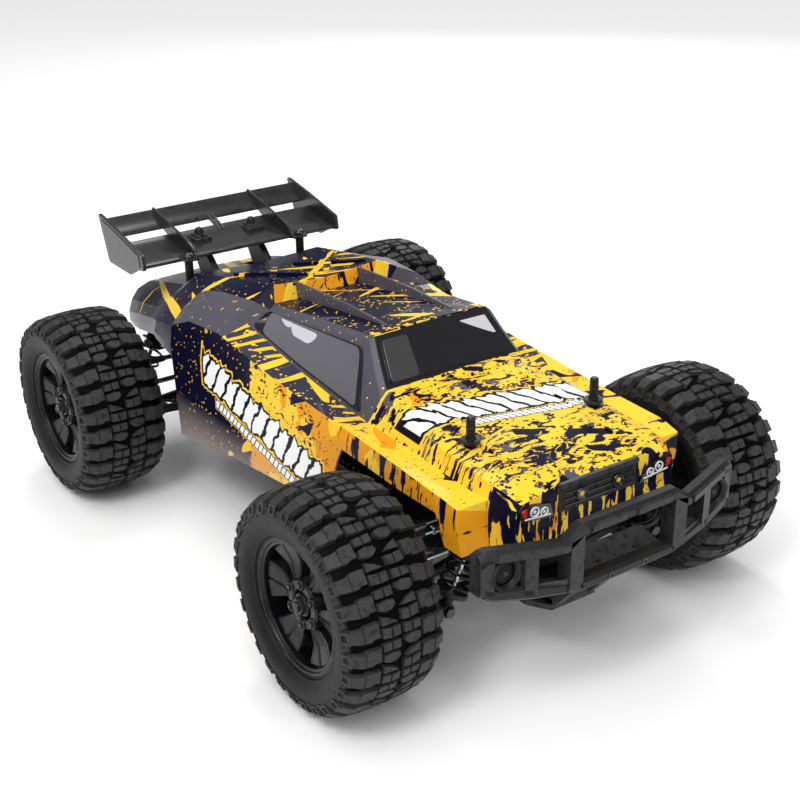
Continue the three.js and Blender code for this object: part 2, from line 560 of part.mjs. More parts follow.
const outside = stations.map(([y, ...half]) => ring(y, half));
const inside = stations.map(([y, ...half]) => {
  const [c0, c1, c2, c3, c4, c5, c6] = half;
  return ring(y + (y < -60 ? WALL : y > 120 ? -WALL : 0), [[0, c0[1] - WALL],
    [c1[0] - 1, c1[1] - WALL - 0.2], [c2[0] - WALL, c2[1] - WALL], [c3[0] - 1.6, c3[1] - WALL - 0.4],
    [c4[0] - WALL - 0.2, c4[1] - WALL - 0.4], [c5[0] - WALL, c5[1]], [c6[0] - WALL, 20]]);
});
const openings = [
  bar('z', 3.4, 100, 160, POST[0], POST[1]), bar('z', 3.4, 100, 160, -POST[0], POST[1]),
  bar('z', 4.2, 100, 160, REAR_POST[0], REAR_POST[1]),
  bar('z', 4.2, 100, 160, -REAR_POST[0], REAR_POST[1]),
  box(16.5, 26.5, 140, 190, 100, 160), box(-26.5, -16.5, 140, 190, 100, 160),
];
add('body_shell', cut(skin(outside), skin(inside), ...openings), paint);

export default group;
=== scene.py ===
import json
import math

import bmesh
import bpy
from mathutils import Matrix, Vector

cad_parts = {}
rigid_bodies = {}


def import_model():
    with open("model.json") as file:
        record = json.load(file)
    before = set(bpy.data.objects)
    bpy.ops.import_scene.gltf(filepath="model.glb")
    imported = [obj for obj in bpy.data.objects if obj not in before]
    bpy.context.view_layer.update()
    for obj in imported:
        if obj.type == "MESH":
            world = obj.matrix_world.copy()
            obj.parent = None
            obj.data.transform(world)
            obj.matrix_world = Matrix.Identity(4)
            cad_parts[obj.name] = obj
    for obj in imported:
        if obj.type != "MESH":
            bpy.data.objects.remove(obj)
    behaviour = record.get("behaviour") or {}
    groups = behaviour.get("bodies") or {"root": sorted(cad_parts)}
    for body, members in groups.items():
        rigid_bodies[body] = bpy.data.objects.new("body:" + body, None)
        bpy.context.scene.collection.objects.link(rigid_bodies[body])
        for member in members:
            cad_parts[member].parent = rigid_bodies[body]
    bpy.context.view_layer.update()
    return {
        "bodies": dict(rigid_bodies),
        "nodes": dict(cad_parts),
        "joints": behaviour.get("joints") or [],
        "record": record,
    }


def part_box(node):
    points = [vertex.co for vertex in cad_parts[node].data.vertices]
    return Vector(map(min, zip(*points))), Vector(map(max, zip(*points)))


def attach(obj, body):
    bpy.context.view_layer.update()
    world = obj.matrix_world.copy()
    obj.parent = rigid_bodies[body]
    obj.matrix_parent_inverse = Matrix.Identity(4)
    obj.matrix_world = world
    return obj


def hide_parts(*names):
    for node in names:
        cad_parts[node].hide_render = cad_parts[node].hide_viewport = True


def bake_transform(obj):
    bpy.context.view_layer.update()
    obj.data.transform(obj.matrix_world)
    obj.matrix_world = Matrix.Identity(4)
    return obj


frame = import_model()

MM = 0.001
TAU = 2 * math.pi


def middle(node):
    low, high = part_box(node)
    return (low + high) / 2


FRONT_Y = middle("front_left_tyre").y
REAR_Y = middle("rear_left_tyre").y
MID_Y = (FRONT_Y + REAR_Y) / 2          # half way between the axles
BASE = (REAR_Y - FRONT_Y) / 2 / MM      # half the wheelbase, mm
AXLE_Z = 63.5
TYRE_MID = middle("front_left_tyre").x / MM
CORNERS = [(e, h) for e in ("front", "rear") for h in ("left", "right")]
SIDE = {"left": 1, "right": -1}
END = {"front": -1, "rear": 1}


def at(x, y, z):
    """A point given in mm from the ground half way between the axles."""
    return Vector((x * MM, y * MM + MID_Y, z * MM))


def add_object(name, data):
    o = bpy.data.objects.new(name, data)
    bpy.context.scene.collection.objects.link(o)
    return o


# ---- camera ---------------------------------------------------------------
def place_camera():
    eye, target = at(-459.9, -687.4, 457.3), at(0, 0, 52.2)
    ahead = (target - eye).normalized()
    right = ahead.cross(Vector((0, 0, 1))).normalized()
    up = right.cross(ahead)
    roll = math.radians(-1.131)
    r = right * math.cos(roll) + up * math.sin(roll)
    u = up * math.cos(roll) - right * math.sin(roll)
    data = bpy.data.cameras.new("camera")
    data.sensor_width, data.lens = 36.0, 62.36
    data.shift_x, data.shift_y = 0.04205, 0.0567
    data.clip_start, data.clip_end = 0.01, 50
    cam = add_object("camera", data)
    turn = Matrix((r, u, -ahead)).transposed().to_4x4()
    cam.matrix_world = Matrix.Translation(eye) @ turn
    bpy.context.scene.camera = cam


def area(name, where, aim, size, power):
    data = bpy.data.lights.new(name, "AREA")
    data.shape, data.size, data.energy = "DISK", size, power
    light = add_object(name, data)
    light.location = where
    light.rotation_euler = (aim - where).to_track_quat("-Z", "Y").to_euler()


# ---- materials --------------------------------------------------------------
class Graph:
    """A short way to write a material's nodes."""

    def __init__(self, name):
        self.mat = bpy.data.materials.new(name)
        self.mat.use_nodes = True
        self.tree = self.mat.node_tree
        self.shader = self.tree.nodes["Principled BSDF"]

    def node(self, kind, inputs=(), **settings):
        n = self.tree.nodes.new(kind)
        for k, v in settings.items():
            setattr(n, k, v)
        for k, v in dict(inputs).items():
            self.put(n.inputs[k], v)
        return n

    def put(self, socket, value):
        if isinstance(value, bpy.types.NodeSocket):
            self.tree.links.new(value, socket)
        elif value is not None:
            if socket.type == "RGBA" and len(value) == 3:
                value = (*value, 1)
            socket.default_value = value

    def math(self, op, a, b):
        return self.node("ShaderNodeMath", {0: a, 1: b}, operation=op).outputs[0]

    def mul(self, a, b):
        return self.math("MULTIPLY", a, b)

    def add(self, a, b):
        return self.math("ADD", a, b)

    def inv(self, a):
        return self.math("SUBTRACT", 1.0, a)

    def low(self, *items):
        out = items[0]
        for i in items[1:]:
            out = self.math("MINIMUM", out, i)
        return out

    def above(self, value, edge, soft=0.01):
        """0 below the edge, 1 above it."""
        n = self.node("ShaderNodeMapRange", {"Value": value, "From Min": edge - soft,
                                             "From Max": edge + soft},
                      interpolation_type="SMOOTHSTEP", clamp=True)
        return n.outputs[0]

    def vec(self, x, y, z=0.0):
        return self.node("ShaderNodeCombineXYZ", {0: x, 1: y, 2: z}).outputs[0]

    def point(self):
        """The surface point in mm, from the ground half way between the axles."""
        where = self.node("ShaderNodeTexCoord").outputs["Object"]
        p = self.node("ShaderNodeVectorMath", {0: where, 1: (0, -MID_Y, 0)}, operation="ADD")
        p = self.node("ShaderNodeVectorMath", {0: p.outputs[0], 1: (1000, 1000, 1000)},
                      operation="MULTIPLY").outputs[0]
        s = self.node("ShaderNodeSeparateXYZ", {0: p})
        return p, s.outputs[0], s.outputs[1], s.outputs[2]

    def noise(self, vector, scale, detail=3.0, rough=0.5, warp=0.0):
        return self.node("ShaderNodeTexNoise", {"Vector": vector, "Scale": scale,
                                                "Detail": detail, "Roughness": rough,
                                                "Distortion": warp}).outputs[0]

    def cells(self, vector, scale, metric="EUCLIDEAN", out="Distance"):
        inputs = {"Vector": vector, "Scale": scale, "Randomness": 1.0}
        return self.node("ShaderNodeTexVoronoi", inputs, distance=metric).outputs[out]

    def mix(self, fac, a, b):
        n = self.node("ShaderNodeMix", data_type="RGBA")
        self.put(n.inputs[0], fac)
        self.put(n.inputs[6], a)
        self.put(n.inputs[7], b)
        return n.outputs[2]

    def bump(self, height, strength, distance):
        return self.node("ShaderNodeBump", {"Height": height, "Strength": strength,
                                            "Distance": distance}).outputs[0]

    def finish(self, **inputs):
        for k, v in inputs.items():
            self.put(self.shader.inputs[k.replace("_", " ")], v)
        return self.mat


def plastic(name, colour, rough=0.5, grain=2.2, depth=0.25, vary=0.25, coat=0.0):
    """Moulded plastic: a fine spark-eroded grain, slow colour drift and paler patches on the sharp outer
    edges.
    """
    g = Graph(name)
    p = g.point()[0]
    fine = g.noise(p, grain, 2.0, 0.6)
    slow = g.noise(p, 0.03, 4.0, 0.6)
    edge = g.node("ShaderNodeNewGeometry").outputs["Pointiness"]
    # paler on the sharp outer edges, in noisy patches
    pale_edge = g.mul(g.above(edge, 0.545, 0.035), g.above(g.noise(p, 0.25, 4.0), 0.42, 0.12))
    dark = tuple(c * (1 - vary) for c in colour)
    pale = tuple(min(1, c * 1.6 + 0.05) for c in colour)
    col = g.mix(g.mul(pale_edge, 0.5), g.mix(slow, dark, colour), pale)
    r = g.add(g.mul(slow, 0.18), rough - 0.09)
    return g.finish(Base_Color=col, Roughness=r, Coat_Weight=coat, Coat_Roughness=0.2,
                    Specular_IOR_Level=0.26, Normal=g.bump(fine, depth, 0.0002))


def metal(name, colour, rough=0.28, turned="x"):
    """Turned bright metal with fine rings and a few rubbed marks."""
    g = Graph(name)
    p, x, y, z = g.point()
    along = {"x": x, "y": y, "z": z}[turned]
    rings = g.noise(g.vec(g.mul(along, 3.0), 0.0, 0.0), 1.0, 3.0, 0.7)
    marks = g.noise(p, 0.15, 5.0, 0.65)
    col = g.mix(marks, tuple(c * 0.7 for c in colour), colour)
    r = g.add(g.mul(rings, 0.16), rough - 0.06)
    return g.finish(Base_Color=col, Metallic=1.0, Roughness=r, Normal=g.bump(rings, 0.12, 0.0001))


def tyre_rubber(name, tone, shine):
    """Black rubber: fine pitting, darker patches at random, and a painted highlight: paler patches on the
    sharp edges.
    """
    g = Graph(name)
    p = g.point()[0]
    pits = g.noise(p, 1.6, 4.0, 0.7)
    scuff = g.noise(p, 0.22, 6.0, 0.75)
    edge = g.node("ShaderNodeNewGeometry").outputs["Pointiness"]
    # painted highlight: sharp edges, in noisy patches, are mixed towards a rubber nine times paler
    painted_edge_highlight = g.mul(g.above(edge, 0.53, 0.04), g.above(scuff, 0.4, 0.15))
    col = g.mix(scuff, (tone * 0.4,) * 3, (tone,) * 3)
    col = g.mix(g.mul(painted_edge_highlight, 0.7), col, (tone * 9,) * 3)
    height = g.add(g.mul(pits, 0.6), g.mul(scuff, 0.6))
    return g.finish(Base_Color=col, Roughness=g.add(g.mul(pits, 0.22), 0.34),
                    Specular_IOR_Level=shine, Normal=g.bump(height, 0.6, 0.0005))


NAVY = (0.005, 0.005, 0.024)
YELLOW, PALE = (0.93, 0.54, 0.018), (0.95, 0.64, 0.07)
ORANGE, GREY = (0.80, 0.33, 0.012), (0.085, 0.083, 0.102)
WHITE, INK = (0.92, 0.92, 0.93), (0.006, 0.006, 0.010)


def paint(name, plane="xy", yellow=0.5, splat=0.35, orange=0.3, grey=0.2, stripes=0.0,
          angle=40, pitch=13.0, drips=0.0, slash=0.0, scrawl=None, base=NAVY, shade=None, fleck=0.12,
          fade=None, seed=0.0):
    """Printed film: patches, splashes, flecks and stripes, all drawn in the plane named.

    yellow, splat, orange, grey, stripes and drips say how much of each there is, and slash adds
    thin streaks. Each scrawl is a row of outlined white slashes, given in mm as
    (along low, along high, across low, across high, slope, cell)."""
    g = Graph(name)
    p, x, y, z = g.point()
    a, b = {"xy": (x, y), "yz": (y, z), "xz": (x, z)}[plane]
    if plane == "yz":  # the two sides carry different prints
        a = g.add(a, g.mul(g.above(x, 0), 37.0))
    flat = g.vec(g.add(a, seed), b, 0.0)
    swirl = g.node("ShaderNodeTexNoise", {"Vector": flat, "Scale": 0.045, "Detail": 3.0})
    warp = g.node("ShaderNodeVectorMath", {0: swirl.outputs[1], 1: (9, 9, 0)},
                  operation="MULTIPLY").outputs[0]
    bent = g.node("ShaderNodeVectorMath", {0: flat, 1: warp}, operation="ADD").outputs[0]

    # broad patches of yellow over the base
    big = g.noise(flat, 0.022, 4.0, 0.55, 0.6)
    if fade:  # (axis value where yellow ends, width), along the car
        big = g.add(big, g.mul(g.math("SUBTRACT", fade[0], y), 1.0 / fade[1]))
    is_yellow = g.above(big, 0.75 - 0.5 * yellow, 0.006)
    tone = g.mix(g.noise(flat, 0.012, 2.0), YELLOW, PALE)
    col = g.mix(is_yellow, base, tone)

    # angular orange and navy shards
    t = math.radians(angle)
    u = g.add(g.mul(a, math.cos(t)), g.mul(b, math.sin(t)))
    v = g.add(g.mul(a, -math.sin(t)), g.mul(b, math.cos(t)))
    shards = g.cells(g.vec(g.mul(u, 0.35), v, seed), 0.085, metric="CHEBYCHEV", out="Color")
    pick = g.node("ShaderNodeSeparateColor", {0: shards}).outputs[0]
    col = g.mix(g.mul(is_yellow, g.inv(g.above(pick, orange * 0.55, 0.003))), col, ORANGE)

    # splashes: ragged marks drawn out one way, in navy or grey
    drawn = g.vec(g.mul(g.add(a, seed), 0.5 if plane == "xy" else 0.8), b, 0.0)
    marks = g.noise(drawn, 0.16, 6.0, 0.62, 1.4)
    marks = g.add(marks, g.mul(g.noise(flat, 0.03, 2.0), 0.25))
    is_splat = g.mul(is_yellow, g.above(marks, 0.83 - 0.45 * splat, 0.004))
    of_grey = g.above(g.noise(flat, 0.05, 3.0), 0.72 - 0.45 * grey, 0.01)
    col = g.mix(is_splat, col, g.mix(of_grey, NAVY, GREY))

    # flecks: small round drops of the other colour
    drops = g.cells(bent, 0.28)
    size = g.mul(g.noise(flat, 0.07, 2.0), fleck * 1.6)
    is_drop = g.inv(g.above(g.math("SUBTRACT", drops, size), 0.0, 0.02))
    col = g.mix(is_drop, col, g.mix(is_yellow, YELLOW, NAVY))

    if drips:
        run = g.noise(g.vec(g.mul(g.add(a, seed), 0.17), g.mul(b, 0.028), 0.0), 1.0, 3.0, 0.6)
        col = g.mix(g.above(run, 0.66 - 0.3 * drips, 0.004), col, NAVY)
        run = g.noise(g.vec(g.mul(a, 0.12), g.mul(b, 0.03), 5.0), 1.0, 2.0, 0.5)
        col = g.mix(g.above(run, 0.70, 0.004), col, ORANGE)
    if slash:
        for turn in (angle, angle - 68):
            w = math.radians(turn)
            q = g.add(g.mul(a, math.cos(w)), g.mul(b, math.sin(w)))
            o = g.add(g.mul(a, -math.sin(w)), g.mul(b, math.cos(w)))
            streak = g.noise(g.vec(g.mul(q, 0.008), g.mul(o, 0.075), seed), 1.0, 1.5, 0.4, 0.1)
            col = g.mix(g.above(streak, 0.72 - 0.2 * slash, 0.003), col, tone)
            streak = g.noise(g.vec(g.mul(q, 0.014), g.mul(o, 0.13), seed + 4), 1.0, 2.0, 0.5, 0.2)
            col = g.mix(g.above(streak, 0.76 - 0.2 * slash, 0.003), col, GREY)
    if stripes:
        saw = g.math("PINGPONG", g.add(u, g.mul(swirl.outputs[0], 3.0)), pitch)
        zone = g.above(g.noise(g.vec(a, b, 3.0 + seed), 0.02, 2.0), 0.66 - 0.45 * stripes, 0.004)
        bar = g.mul(zone, g.above(saw, pitch * 0.66, 0.15))
        col = g.mix(bar, col, g.mix(is_yellow, YELLOW, NAVY))
    for a0, a1, b0, b1, slope, cell in scrawl or ():
        c = g.math("SUBTRACT", b, g.mul(g.math("SUBTRACT", a, (a0 + a1) / 2), slope))
        wave = g.mul(g.math("SUBTRACT", g.noise(flat, 0.09, 3.0), 0.5), cell * 0.7)
        lean = g.add(g.add(a, g.mul(c, 0.55)), wave)
        tall = g.mul(g.noise(g.vec(g.mul(lean, 1.9 / cell), seed, 2.0), 1.0, 1.0), (b1 - b0) * 0.55)
        inside = g.low(g.math("SUBTRACT", a, a0), g.math("SUBTRACT", a1, a),
                       g.math("SUBTRACT", g.add(c, wave), g.add(g.mul(tall, 0.5), b0 - cell * 0.3)),
                       g.math("SUBTRACT", b1, g.add(c, tall)))
        bars = g.math("SUBTRACT", g.math("PINGPONG", lean, cell / 2), cell * 0.11)
        v = g.low(inside, bars)
        col = g.mix(g.above(v, -cell * 0.30, 0.1), col, tone)
        col = g.mix(g.above(v, -cell * 0.17, 0.1), col, INK)
        col = g.mix(g.above(v, 0.0, 0.1), col, WHITE)
    if shade:  # a fade to a paler tone towards the lower edge
        low, high, tint = shade
        n = g.node("ShaderNodeMapRange", {"Value": z, "From Min": high, "From Max": low}, clamp=True)
        col = g.mix(g.mul(n.outputs[0], 0.55), col, tint)
    orange_peel = g.noise(p, 0.35, 2.0)
    rough = g.add(g.mul(g.noise(p, 0.05, 4.0), 0.12), 0.24)
    return g.finish(Base_Color=col, Roughness=rough, Coat_Weight=0.06, Coat_Roughness=0.1,
                    Specular_IOR_Level=0.06, Normal=g.bump(orange_peel, 0.06, 0.0003))


def glass(name, colour, rough=0.1):
    """Tinted window film, printed from behind: glossy, with a faint smoky drift."""
    g = Graph(name)
    p = g.point()[0]
    drift = g.noise(p, 0.02, 3.0)
    col = g.mix(drift, tuple(c * 0.8 for c in colour), colour)
    return g.finish(Base_Color=col, Roughness=g.add(g.mul(drift, 0.06), rough),
                    Coat_Weight=0.4, Coat_Roughness=0.05,
                    Normal=g.bump(g.noise(p, 0.1, 2.0), 0.04, 0.0003))


# ---- mesh building ------------------------------------------------------------
# The six faces of a box: four corners of one end, then the same four of the other.
BOX_FACES = [(3, 2, 1, 0), (4, 5, 6, 7), (0, 1, 5, 4), (1, 2, 6, 5), (2, 3, 7, 6), (3, 0, 4, 7)]


def hexagon(radius, y=0.0, z=0.0):
    return [(y + radius * math.cos(TAU * k / 6), z + radius * math.sin(TAU * k / 6))
            for k in range(6)]


class Shape:
    """Collects vertices in mm and faces with a material index."""

    def __init__(self):
        self.verts, self.faces, self.mats = [], [], []

    def put(self, verts, faces, mat=0, turn=None):
        base = len(self.verts)
        self.verts += [tuple(turn @ Vector(v)) if turn else tuple(v) for v in verts]
        self.faces += [tuple(base + i for i in f) for f in faces]
        self.mats += [mat] * len(faces)

    def lathe(self, profile, sides, mat=0, axis="x", centre=(0, 0, 0), closed=True):
        """profile is [along, radius] pairs, turned about an axis through centre."""
        n = len(profile)
        verts = []
        for i in range(sides):
            t = TAU * i / sides
            for a, r in profile:
                c, s = r * math.cos(t), r * math.sin(t)
                p = {"x": (a, c, s), "y": (s, a, c), "z": (c, s, a)}[axis]
                verts.append(tuple(p[j] + centre[j] for j in range(3)))
        faces = []
        for i in range(sides):
            j = (i + 1) % sides
            for k in range(n if closed else n - 1):
                m = (k + 1) % n
                faces.append((i * n + k, i * n + m, j * n + m, j * n + k))
        if not closed:
            faces.append(tuple(i * n for i in range(sides))[::-1])
            faces.append(tuple(i * n + n - 1 for i in range(sides)))
        self.put(verts, faces, mat)

    def prism(self, outline, a, b, mat=0, axis="x", taper=1.0):
        """An outline in the two other axes, extruded along axis from a to b."""
        order = {"x": lambda p, h: (h, p[0], p[1]), "y": lambda p, h: (p[0], h, p[1]),
                 "z": lambda p, h: (p[0], p[1], h)}[axis]
        cx = sum(p[0] for p in outline) / len(outline)
        cy = sum(p[1] for p in outline) / len(outline)
        top = [((p[0] - cx) * taper + cx, (p[1] - cy) * taper + cy) for p in outline]
        n = len(outline)
        verts = [order(p, a) for p in outline] + [order(p, b) for p in top]
        faces = [tuple(range(n))[::-1], tuple(range(n, 2 * n))]
        faces += [(i, (i + 1) % n, n + (i + 1) % n, n + i) for i in range(n)]
        self.put(verts, faces, mat)

    def block(self, corner_a, corner_b, mat=0, taper=1.0):
        """A box between two corners; x and y may be given in either order."""
        x0, x1 = sorted((corner_a[0], corner_b[0]))
        y0, y1 = sorted((corner_a[1], corner_b[1]))
        self.prism([(x0, y0), (x1, y0), (x1, y1), (x0, y1)], corner_a[2], corner_b[2], mat, "z",
                   taper)

    def skin(self, sections, mat=0):
        """Joins sections that have the same number of points, and caps both ends."""
        n, count = len(sections[0]), len(sections)
        verts = [p for s in sections for p in s]
        faces = [(s * n + i, s * n + (i + 1) % n, (s + 1) * n + (i + 1) % n, (s + 1) * n + i)
                 for s in range(count - 1) for i in range(n)]
        faces += [tuple(range(n))[::-1], tuple(range((count - 1) * n, count * n))]
        self.put(verts, faces, mat)

    def tube(self, path, radius, sides=12, mat=0):
        """A round bar along a path of points; radius may be a list."""
        pts = [Vector(p) for p in path]
        n = len(pts)
        radii = radius if isinstance(radius, (list, tuple)) else [radius] * n
        ref = None
        sections = []
        for i, p in enumerate(pts):
            d = (pts[min(i + 1, n - 1)] - pts[max(i - 1, 0)]).normalized()
            if ref is None:
                ref = Vector((0, 0, 1)) if abs(d.z) < 0.9 else Vector((0, 1, 0))
            side = d.cross(ref).normalized()
            ref = side.cross(d).normalized()
            sections.append([tuple(p + (side * math.cos(TAU * k / sides)
                                        + ref * math.sin(TAU * k / sides)) * radii[i])
                             for k in range(sides)])
        self.skin(sections, mat)

    def screw(self, where, normal, r=2.6, h=1.6, mat=0, socket=1):
        """A socket-head screw: bevelled top and a six-sided socket."""
        n = Vector(normal).normalized()
        turn = Matrix.Translation(Vector(where)) @ n.to_track_quat("Z", "Y").to_matrix().to_4x4()
        head = Shape()
        head.lathe([(-0.6, 0.01), (-0.6, r), (h * 0.75, r), (h, r * 0.86), (h, r * 0.5),
                    (h * 0.35, r * 0.46), (h * 0.35, 0.01)], 18, 0, "z")
        self.put(head.verts, head.faces, mat, turn)
        hexa = Shape()
        hexa.prism(hexagon(r * 0.5), h * 0.36, h * 0.42, 0, "z")
        self.put(hexa.verts, hexa.faces, socket, turn)

    def mesh(self, name):
        m = bpy.data.meshes.new(name)
        m.from_pydata([Vector(v) * MM for v in self.verts], [], self.faces)
        m.polygons.foreach_set("material_index", self.mats)
        m.update()
        bm = bmesh.new()
        bm.from_mesh(m)
        bmesh.ops.remove_doubles(bm, verts=bm.verts, dist=1e-6)
        bmesh.ops.recalc_face_normals(bm, faces=bm.faces)
        bm.to_mesh(m)
        bm.free()
        return m


def mapped(shape, fn):
    out = Shape()
    out.verts = [fn(v) for v in shape.verts]
    out.faces, out.mats = list(shape.faces), list(shape.mats)
    return out


def from_middle(shape):
    """Moves a shape given from half way between the axles to the frame's own origin."""
    return mapped(shape, lambda v: (v[0], v[1] + MID_Y / MM, v[2]))


def soften(o, width, degrees, segments=2):
    """Bevels the edges that turn by more than the angle given."""
    m = o.modifiers.new("edges", "BEVEL")
    m.width, m.segments, m.limit_method = width * MM, segments, "ANGLE"
    m.angle_limit = math.radians(degrees)


def show(name, shape, mats, body, stands_for=(), bevel=0.0, angle=30):
    """Makes an object of a shape given in mm from half way between the axles, and rides it."""
    mesh = from_middle(shape).mesh(name)
    o = add_object(name, mesh)
    for m in mats:
        mesh.materials.append(m)
    mesh.shade_smooth()
    if bevel:
        soften(o, bevel, angle)
    o.modifiers.new("normals", "WEIGHTED_NORMAL").keep_sharp = True
    set_sharp(mesh, 32)
    if body:
        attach(o, body)
        if stands_for:
            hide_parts(*stands_for)
    return o


def set_sharp(mesh, degrees):
    """Marks the edges that stay hard."""
    bm = bmesh.new()
    bm.from_mesh(mesh)
    for e in bm.edges:
        if len(e.link_faces) == 2 and e.calc_face_angle(0) > math.radians(degrees):
            e.smooth = False
    bm.to_mesh(mesh)
    bm.free()


place_camera()

# ---- the materials used -------------------------------------------------------
BLACK = plastic("black_nylon", (0.006, 0.006, 0.007), 0.42, 2.4, 0.3)
RIM = plastic("rim_black", (0.003, 0.003, 0.004), 0.30, 3.0, 0.12, 0.3, coat=0.05)
WING_P = plastic("wing_black", (0.007, 0.007, 0.008), 0.26, 2.4, 0.1, 0.2, coat=0.6)
MOULDED = plastic("moulded_grey", (0.012, 0.012, 0.013), 0.40, 1.6, 0.25, 0.2)
DARK = plastic("shadow_black", (0.004, 0.004, 0.004), 0.7, 2.0, 0.1)
RUBBER = tyre_rubber("tyre_rubber", 0.006, 0.16)
# painted shade: a darker, less shiny copy of the tyre rubber for the crown between the lugs, where the
# grooves lie in shade
GROOVE_SHADE = tyre_rubber("tyre_grooves_painted_shade", 0.002, 0.03)
STEEL = metal("bright_steel", (0.62, 0.62, 0.64), 0.24)
SPRING = metal("spring_steel", (0.035, 0.035, 0.038), 0.3, "z")
SCREW = metal("screw_black", (0.10, 0.10, 0.105), 0.32, "z")
CAN = metal("motor_can", (0.42, 0.42, 0.44), 0.3, "y")


# ---- wheels ----------------------------------------------------------------------
PITCHES = 28                        # lugs round each side of the tyre
CROWN_R, SHOULDER_R = 61, 57        # radii at which lengths round the tyre are measured
LUG_SINK, LUG_FOOT, LUG_TOP = 1.0, 1.06, 0.9


def crown(x):
    """Radius of the tyre between the lugs, at x from the tyre's middle."""
    x = abs(x)
    if x < 21:
        return 60.6 - 2.0 * (x / 21) ** 2
    return 58.6 - 0.38 * (x - 21) - 0.02 * (x - 21) ** 2


def lug(s, outline, turn, height):
    """A block on the crown. outline is in (x, mm around) and turn in radians."""
    n = len(outline)
    cx = sum(p[0] for p in outline) / n
    cy = sum(p[1] for p in outline) / n
    verts = []
    for lift, k in ((-LUG_SINK, LUG_FOOT), (height, LUG_TOP)):
        for x, a in outline:
            px, pa = (x - cx) * k + cx, (a - cy) * k + cy
            r = crown(px) + lift
            t = turn + pa / CROWN_R
            verts.append((px, r * math.cos(t), r * math.sin(t)))
    faces = [tuple(range(n))[::-1], tuple(range(n, 2 * n))]
    faces += [(i, (i + 1) % n, n + (i + 1) % n, n + i) for i in range(n)]
    s.put(verts, faces)


def wall_lug(s, side, r0, r1, x0, x1, a0, a1, turn, frame):
    """A square on the shoulder with a small pit in it."""
    for b0, b1, q0, q1 in ((a0, a0 + frame, r0, r1), (a1 - frame, a1, r0, r1),
                           (a0, a1, r0, r0 + frame * 0.8), (a0, a1, r1 - frame * 0.8, r1)):
        verts = []
        for x in (x0, x1):
            for r, a in ((q0, b0), (q1, b0), (q1, b1), (q0, b1)):
                t = turn + a / SHOULDER_R
                f = (r - r0) / (r1 - r0)
                px = side * (x - 1.9 * f * (x1 > 29))
                verts.append((px, r * math.cos(t), r * math.sin(t)))
        s.put(verts, BOX_FACES)


def tyre_shape():
    s = Shape()
    half = [(24.6, 37.2), (25.0, 38.9), (26.2, 39.6), (26.6, 40.8), (27.9, 43.0), (29.1, 46.2),
            (29.7, 49.6), (29.5, 52.6), (28.4, 54.6), (26.6, 55.9), (24, 57.3), (21, 58.5)]
    across = [(x, crown(x)) for x in (17, 12, 6, 0, -6, -12, -17)]
    profile = half + across + [(-x, r) for x, r in half[::-1]]
    s.lathe(profile, 120)
    # the crown between the lugs takes the darker copy of the rubber, as painted shade in the grooves
    s.mats = [1 if min(math.hypot(*s.verts[i][1:]) for i in f) > 55 else 0 for f in s.faces]
    for i in range(PITCHES):
        for side in (1, -1):
            turn = TAU * (i + (0.5 if side < 0 else 0)) / PITCHES

            def put(points, height):
                lug(s, [(side * x, a) for x, a in points], turn, height)
            # stepped lateral lug from the middle of the half to the shoulder
            put([(12.4, -4.0), (16.4, -4.0), (17.4, -5.2), (21.4, -5.2), (21.4, 3.4), (18.8, 4.4),
                 (12.4, 4.4)], 3.0)
            put([(21.2, -5.2), (24.6, -5.0), (28.2, -4.2), (28.2, 3.4), (24.6, 3.0), (21.2, 3.2)], 3.4)
            if i % 2:
                put([(0.8, -5.6), (5.6, -6.0), (5.6, -0.6), (0.8, -0.4)], 2.7)
                put([(6.0, -6.0), (11.4, -5.4), (11.4, 0.2), (6.0, -0.6)], 2.7)
                put([(1.4, 1.4), (11.4, 1.2), (10.8, 6.2), (6.2, 4.4)], 2.5)
            else:
                put([(0.9, -3.2), (3.6, -5.6), (8.0, -6.2), (11.6, -4.8), (11.2, -0.8),
                     (6.4, 0.0), (1.6, -0.8)], 2.6)
                put([(1.2, 1.2), (6.0, 1.0), (6.0, 5.8), (1.2, 6.0)], 2.7)
                put([(6.5, 1.0), (11.6, 1.2), (11.6, 5.4), (6.5, 5.8)], 2.7)
            # squares on the ends of the long lugs, smaller ones between them
            wall_lug(s, side, 52.4, 58.4, 26.6, 30.2, -4.2, 2.6, turn, 1.5)
            wall_lug(s, side, 51.4, 55.4, 27.2, 30.1, 4.6, 8.6, turn, 1.2)
    return s


